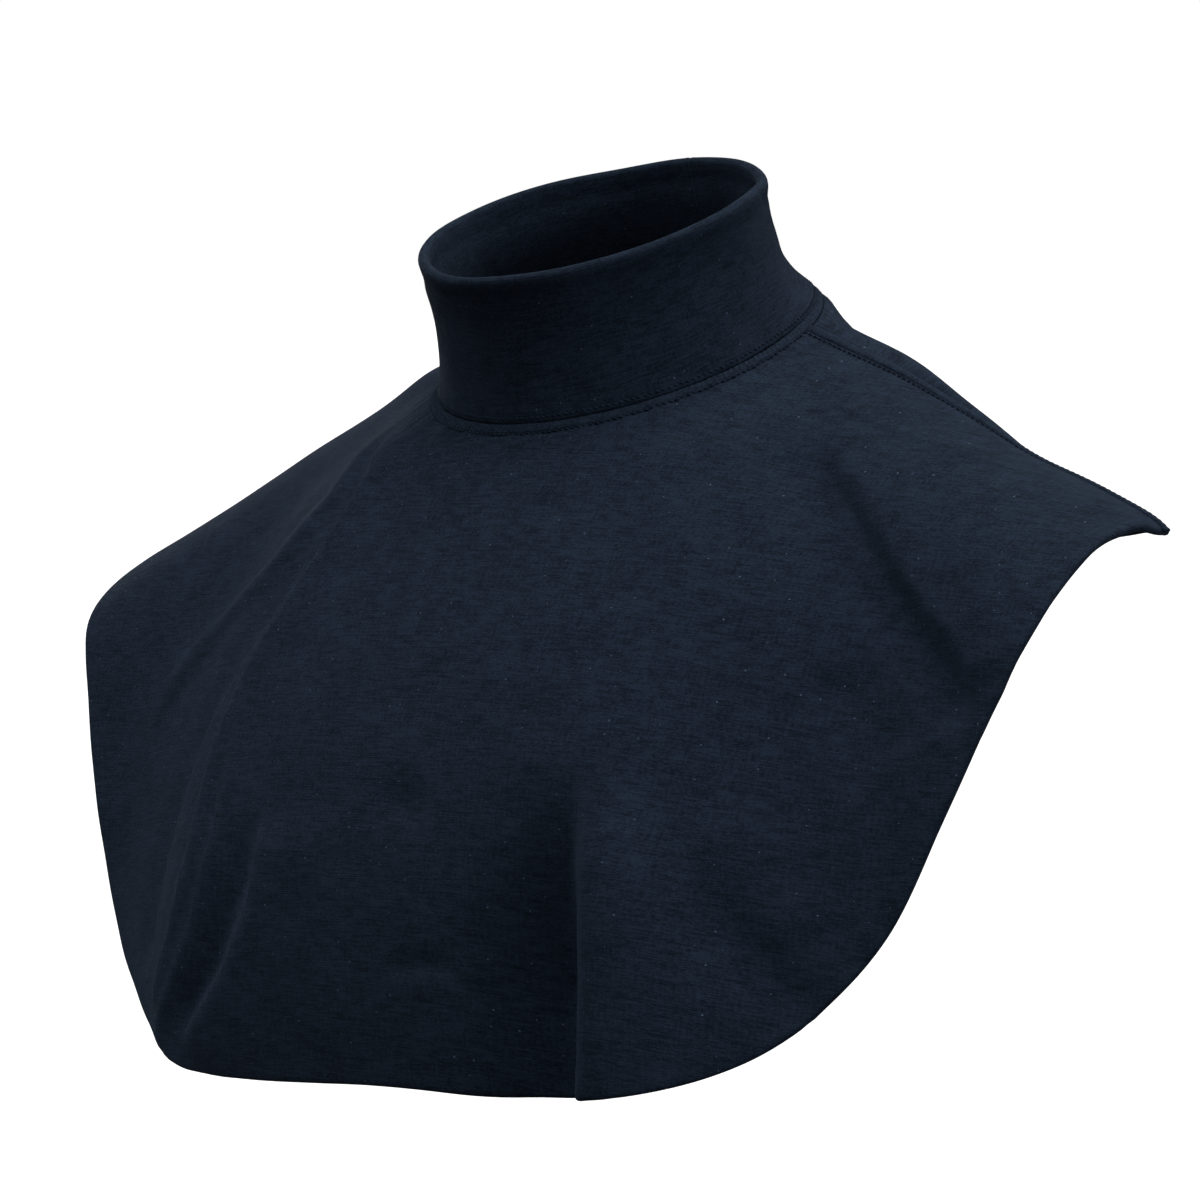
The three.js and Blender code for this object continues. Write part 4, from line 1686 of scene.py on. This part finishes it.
def back_folds() -> tuple[Fold, ...]:
    """The back's folds: the troughs that run beside the shoulder seams."""
    places = ((0.93, 0.2), (0.935, 0.36), (0.95, 0.52), (0.965, 0.66))
    return tuple(
        Fold(
            name, tuple((sign * side, drop) for side, drop in places),
            4.2 * MM, 4.2 * MM, -4.4 * MM, Crest.ROUND, 0.3, 0.3,
        )
        for name, sign in (("left shoulder trough", 1.0), ("right shoulder trough", -1.0))
    )


def settles() -> tuple[Settle, ...]:
    """Where the worn cloth sits higher or lower than the plain drape."""
    return (
        Settle((-0.198, -0.026, -0.062), 60 * MM, -6.2 * MM),
        Settle((-0.098, 0.0, -0.012), 18 * MM, 3.6 * MM),
        Settle((0.068, 0.056, 0.004), 19 * MM, -7.0 * MM),
        Settle((0.056, 0.050, 0.018), 9 * MM, 4.5 * MM),
        Settle((0.106, 0.040, -0.014), 24 * MM, 2.4 * MM),
        Settle((0.168, 0.028, -0.044), 24 * MM, -4.1 * MM),
        Settle((0.222, 0.016, -0.070), 17 * MM, 1.3 * MM),
        Settle((0.2335, 0.015, -0.0735), 9 * MM, -4.2 * MM),
    )


def front_edge_shift() -> tuple[tuple[float, float], ...]:
    """How much longer the front is at its cut edge than the plain drape."""
    return (
        (-1.0, 0.0), (-0.85, 1.0 * MM), (-0.79, 6.4 * MM), (-0.74, 5.4 * MM), (-0.69, 1.5 * MM),
        (-0.63, -1.8 * MM), (-0.55, -2.0 * MM), (-0.45, -0.6 * MM), (-0.38, -0.3 * MM),
        (-0.34, -0.8 * MM), (-0.27, 0.5 * MM), (-0.21, 1.2 * MM), (-0.15, 2.4 * MM), (-0.09, 0.4 * MM),
        (-0.03, -1.2 * MM), (0.05, -1.8 * MM), (0.1, 2.0 * MM), (0.135, 3.2 * MM), (0.157, 0.0),
        (0.18, 0.2 * MM), (0.22, 0.6 * MM), (0.3, 0.6 * MM), (0.38, -2.2 * MM), (0.48, -3.3 * MM),
        (0.57, -4.3 * MM), (0.63, -3.6 * MM), (0.68, -1.3 * MM), (0.72, 0.6 * MM), (0.76, -0.8 * MM),
        (0.81, -3.3 * MM), (0.88, -6.8 * MM), (0.92, -6.4 * MM), (0.96, -2.6 * MM), (1.0, 0.0),
    )


@dataclass(frozen=True)
class PhotoCamera:
    """The camera, at the photograph's viewing angle.

    Attributes:
        azimuth: How far round the dickey it stands, in degrees.
        elevation: How far above the horizon, in degrees.
        roll: How far the picture turns about the line of sight, in degrees.
        distance: How far from the origin.
        pixel: Size of a picture pixel at that distance.
        picture: Pixels across the picture.
        origin_pixel: Where the origin is in the picture.
        sensor: Width of the sensor in millimetres.
    """

    azimuth: float = 40.0
    elevation: float = 4.0
    roll: float = -2.8
    distance: float = 1.8
    pixel: float = 0.37 * MM
    picture: float = 1200.0
    origin_pixel: tuple[float, float] = (626.0, 347.0)
    sensor: float = 36.0

    def build(self) -> bpy.types.Object:
        """Makes the camera and gives it to the scene."""
        turn, lift, roll = (math.radians(value) for value in (self.azimuth, self.elevation, self.roll))
        right = Vector((math.cos(turn), math.sin(turn), 0.0))
        back = Vector((math.sin(turn) * math.cos(lift), -math.cos(turn) * math.cos(lift), math.sin(lift)))
        up = back.cross(right)
        rolled_right = right * math.cos(roll) + up * math.sin(roll)
        rolled_up = up * math.cos(roll) - right * math.sin(roll)
        focal = self.distance / self.pixel
        across = (self.origin_pixel[0] - self.picture / 2.0) / focal
        above = -(self.origin_pixel[1] - self.picture / 2.0) / focal
        place = (back - rolled_right * across - rolled_up * above) * self.distance
        data = bpy.data.cameras.new("photo_camera")
        data.sensor_fit = "HORIZONTAL"
        data.sensor_width = self.sensor
        data.lens = focal / self.picture * self.sensor
        data.clip_start = 0.05
        data.clip_end = 60.0
        made = bpy.data.objects.new("photo_camera", data)
        turned = Matrix((rolled_right, rolled_up, back)).transposed().to_4x4()
        made.matrix_world = Matrix.Translation(place) @ turned
        bpy.context.scene.collection.objects.link(made)
        bpy.context.scene.camera = made
        return made


@dataclass(frozen=True)
class SoftLight:
    """A far soft light, aimed at the dickey.

    Attributes:
        name: Its name.
        azimuth: Where it stands round the dickey, in degrees, counted as the camera is.
        elevation: How far above the horizon, in degrees.
        power: Its strength.
        spread: How wide it looks from the dickey, in degrees.
    """

    name: str
    azimuth: float
    elevation: float
    power: float
    spread: float

    def build(self) -> bpy.types.Object:
        """Makes the light."""
        data = bpy.data.lights.new(self.name, "SUN")
        data.energy = self.power
        data.angle = math.radians(self.spread)
        made = bpy.data.objects.new(self.name, data)
        turn, lift = math.radians(self.azimuth), math.radians(self.elevation)
        toward = Vector((math.sin(turn) * math.cos(lift), -math.cos(turn) * math.cos(lift), math.sin(lift)))
        made.rotation_mode = "QUATERNION"
        made.rotation_quaternion = toward.to_track_quat("Z", "Y")
        made.location = toward * 3.0
        bpy.context.scene.collection.objects.link(made)
        return made


@dataclass(frozen=True)
class Studio:
    """A plain pale floor, a plain pale surround and soft lights.

    Attributes:
        floor_height: Height of the floor.
        floor_half: Half the floor's side.
        floor_seen: How pale the floor looks.
        floor_thrown: Share of the light that it throws up at the dickey.
        ambient: Strength of the surround's light on the dickey.
        lights: The soft lights.
    """

    floor_height: float = -0.42
    floor_half: float = 30.0
    floor_seen: float = 0.95
    floor_thrown: float = 0.06
    ambient: float = 0.04
    lights: tuple[SoftLight, ...] = (
        SoftLight("top_softbox", azimuth=40.0, elevation=80.0, power=2.65, spread=50.0),
        SoftLight("right_softbox", azimuth=98.0, elevation=3.0, power=2.0, spread=30.0),
        SoftLight("front_softbox", azimuth=12.0, elevation=42.0, power=0.9, spread=30.0),
        SoftLight("left_softbox", azimuth=-40.0, elevation=60.0, power=0.25, spread=30.0),
        SoftLight("rim_softbox", azimuth=-125.0, elevation=10.0, power=0.35, spread=24.0),
        SoftLight("back_softbox", azimuth=165.0, elevation=45.0, power=0.7, spread=30.0),
    )

    def build(self) -> None:
        """Makes the floor, the surround and the lights."""
        self._floor()
        self._surround()
        for light in self.lights:
            light.build()
        bpy.context.scene.view_settings.view_transform = "Standard"

    def _floor(self) -> None:
        """Makes the floor, which looks pale and throws little light up at the dickey."""
        half, height = self.floor_half, self.floor_height
        turns = ((-1, -1), (1, -1), (1, 1), (-1, 1))
        corners = np.array([[half * across, half * along, height] for across, along in turns])
        floor = MeshMaker.from_faces("floor", corners, [[0, 1, 2, 3]], corners[:, :2])
        material = bpy.data.materials.new("pale_floor")
        material.use_nodes = True
        tree = material.node_tree
        tree.nodes.remove(tree.nodes["Principled BSDF"])
        pale = tree.nodes.new("ShaderNodeBsdfDiffuse")
        pale.inputs["Color"].default_value = (self.floor_seen,) * 3 + (1.0,)
        dim = tree.nodes.new("ShaderNodeBsdfDiffuse")
        dim.inputs["Color"].default_value = (self.floor_thrown,) * 3 + (1.0,)
        path = tree.nodes.new("ShaderNodeLightPath")
        mix = tree.nodes.new("ShaderNodeMixShader")
        tree.links.new(path.outputs["Is Camera Ray"], mix.inputs[0])
        tree.links.new(dim.outputs[0], mix.inputs[1])
        tree.links.new(pale.outputs[0], mix.inputs[2])
        tree.links.new(mix.outputs[0], tree.nodes["Material Output"].inputs["Surface"])
        floor.data.materials.append(material)

    def _surround(self) -> None:
        """Makes the surround: white to the camera, dimmer as a light."""
        world = bpy.data.worlds.new("studio")
        world.use_nodes = True
        tree = world.node_tree
        tree.nodes.clear()
        lit = tree.nodes.new("ShaderNodeBackground")
        lit.inputs["Strength"].default_value = self.ambient
        seen = tree.nodes.new("ShaderNodeBackground")
        seen.inputs["Strength"].default_value = 1.0
        for node in (lit, seen):
            node.inputs["Color"].default_value = (1.0, 1.0, 1.0, 1.0)
        path = tree.nodes.new("ShaderNodeLightPath")
        mix = tree.nodes.new("ShaderNodeMixShader")
        output = tree.nodes.new("ShaderNodeOutputWorld")
        tree.links.new(path.outputs["Is Camera Ray"], mix.inputs[0])
        tree.links.new(lit.outputs[0], mix.inputs[1])
        tree.links.new(seen.outputs[0], mix.inputs[2])
        tree.links.new(mix.outputs[0], output.inputs["Surface"])
        bpy.context.scene.world = world


def main() -> None:
    """Builds the dickey on its frame, then lights it."""
    logging.basicConfig(level=logging.INFO, format="%(message)s")
    for start_object in list(bpy.context.scene.objects):
        bpy.data.objects.remove(start_object)
    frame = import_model()
    log.info("frame: %s", sorted(frame["nodes"]))
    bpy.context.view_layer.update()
    PhotoCamera().build()
    ring = NeckRing()
    effects = EffectGroups()
    collar_knit = KnitFinish("collar_jersey").build(effects)
    panel_knit = KnitFinish("panel_jersey").build(effects)
    seam_knit = KnitFinish("seam_jersey", wale=0.8 * MM, streak=4 * MM, lint_size=0.03).build(effects)
    thread = ThreadFinish("navy_thread").build()

    front = Panel(
        "front_cloth",
        Drape(
            ring, front_sections(), -167 * MM, 251 * MM, -1.0, front_folds(), Ripple(seed=5), settles(),
            front_edge_shift(),
        ),
        steps=300, rows=128, flat=(0.50, 0.30),
    )
    back = Panel(
        "back_cloth",
        Drape(
            ring, back_sections(), 112 * MM, 118 * MM, 1.0, back_folds(), Ripple(seed=7), settles(),
            fold_margin=0.05,
        ),
        steps=220, rows=70, flat=(0.46, 0.19),
    )
    collar = Collar("collar_cloth", ring)
    collar_cloth = collar.build()
    dress(collar_cloth, collar_knit, ["collar_band"])
    front_cloth = front.build()
    dress(front_cloth, panel_knit, ["front_panel"])
    back_cloth = back.build()
    dress(back_cloth, panel_knit, ["back_panel"])
    front_hem = front.hem("front_hem_fold")
    dress(front_hem, panel_knit, ["front_hem"])
    back_hem = back.hem("back_hem_fold")
    dress(back_hem, panel_knit, ["back_hem"])

    seams = Seams(front, back, collar)
    neck_welt = seams.neck_welt()
    dress(neck_welt, seam_knit, ["neck_seam"])
    left_welt = seams.shoulder_welt("shoulder_seam_left_welt", 1.0)
    dress(left_welt, seam_knit, ["shoulder_seam_left"])
    right_welt = seams.shoulder_welt("shoulder_seam_right_welt", -1.0)
    dress(right_welt, seam_knit, ["shoulder_seam_right"])
    neck_stitches = seams.neck_stitches()
    shoulder_stitches = seams.shoulder_stitches()
    front_hem_stitches = seams.hem_stitches("front_hem_stitches", front)
    back_hem_stitches = seams.hem_stitches("back_hem_stitches", back)
    tacks = seams.edge_tacks()
    for stitches in (*neck_stitches, shoulder_stitches, front_hem_stitches, back_hem_stitches, tacks):
        dress(stitches, thread)

    Studio().build()


if __name__ == "__main__":
    main()
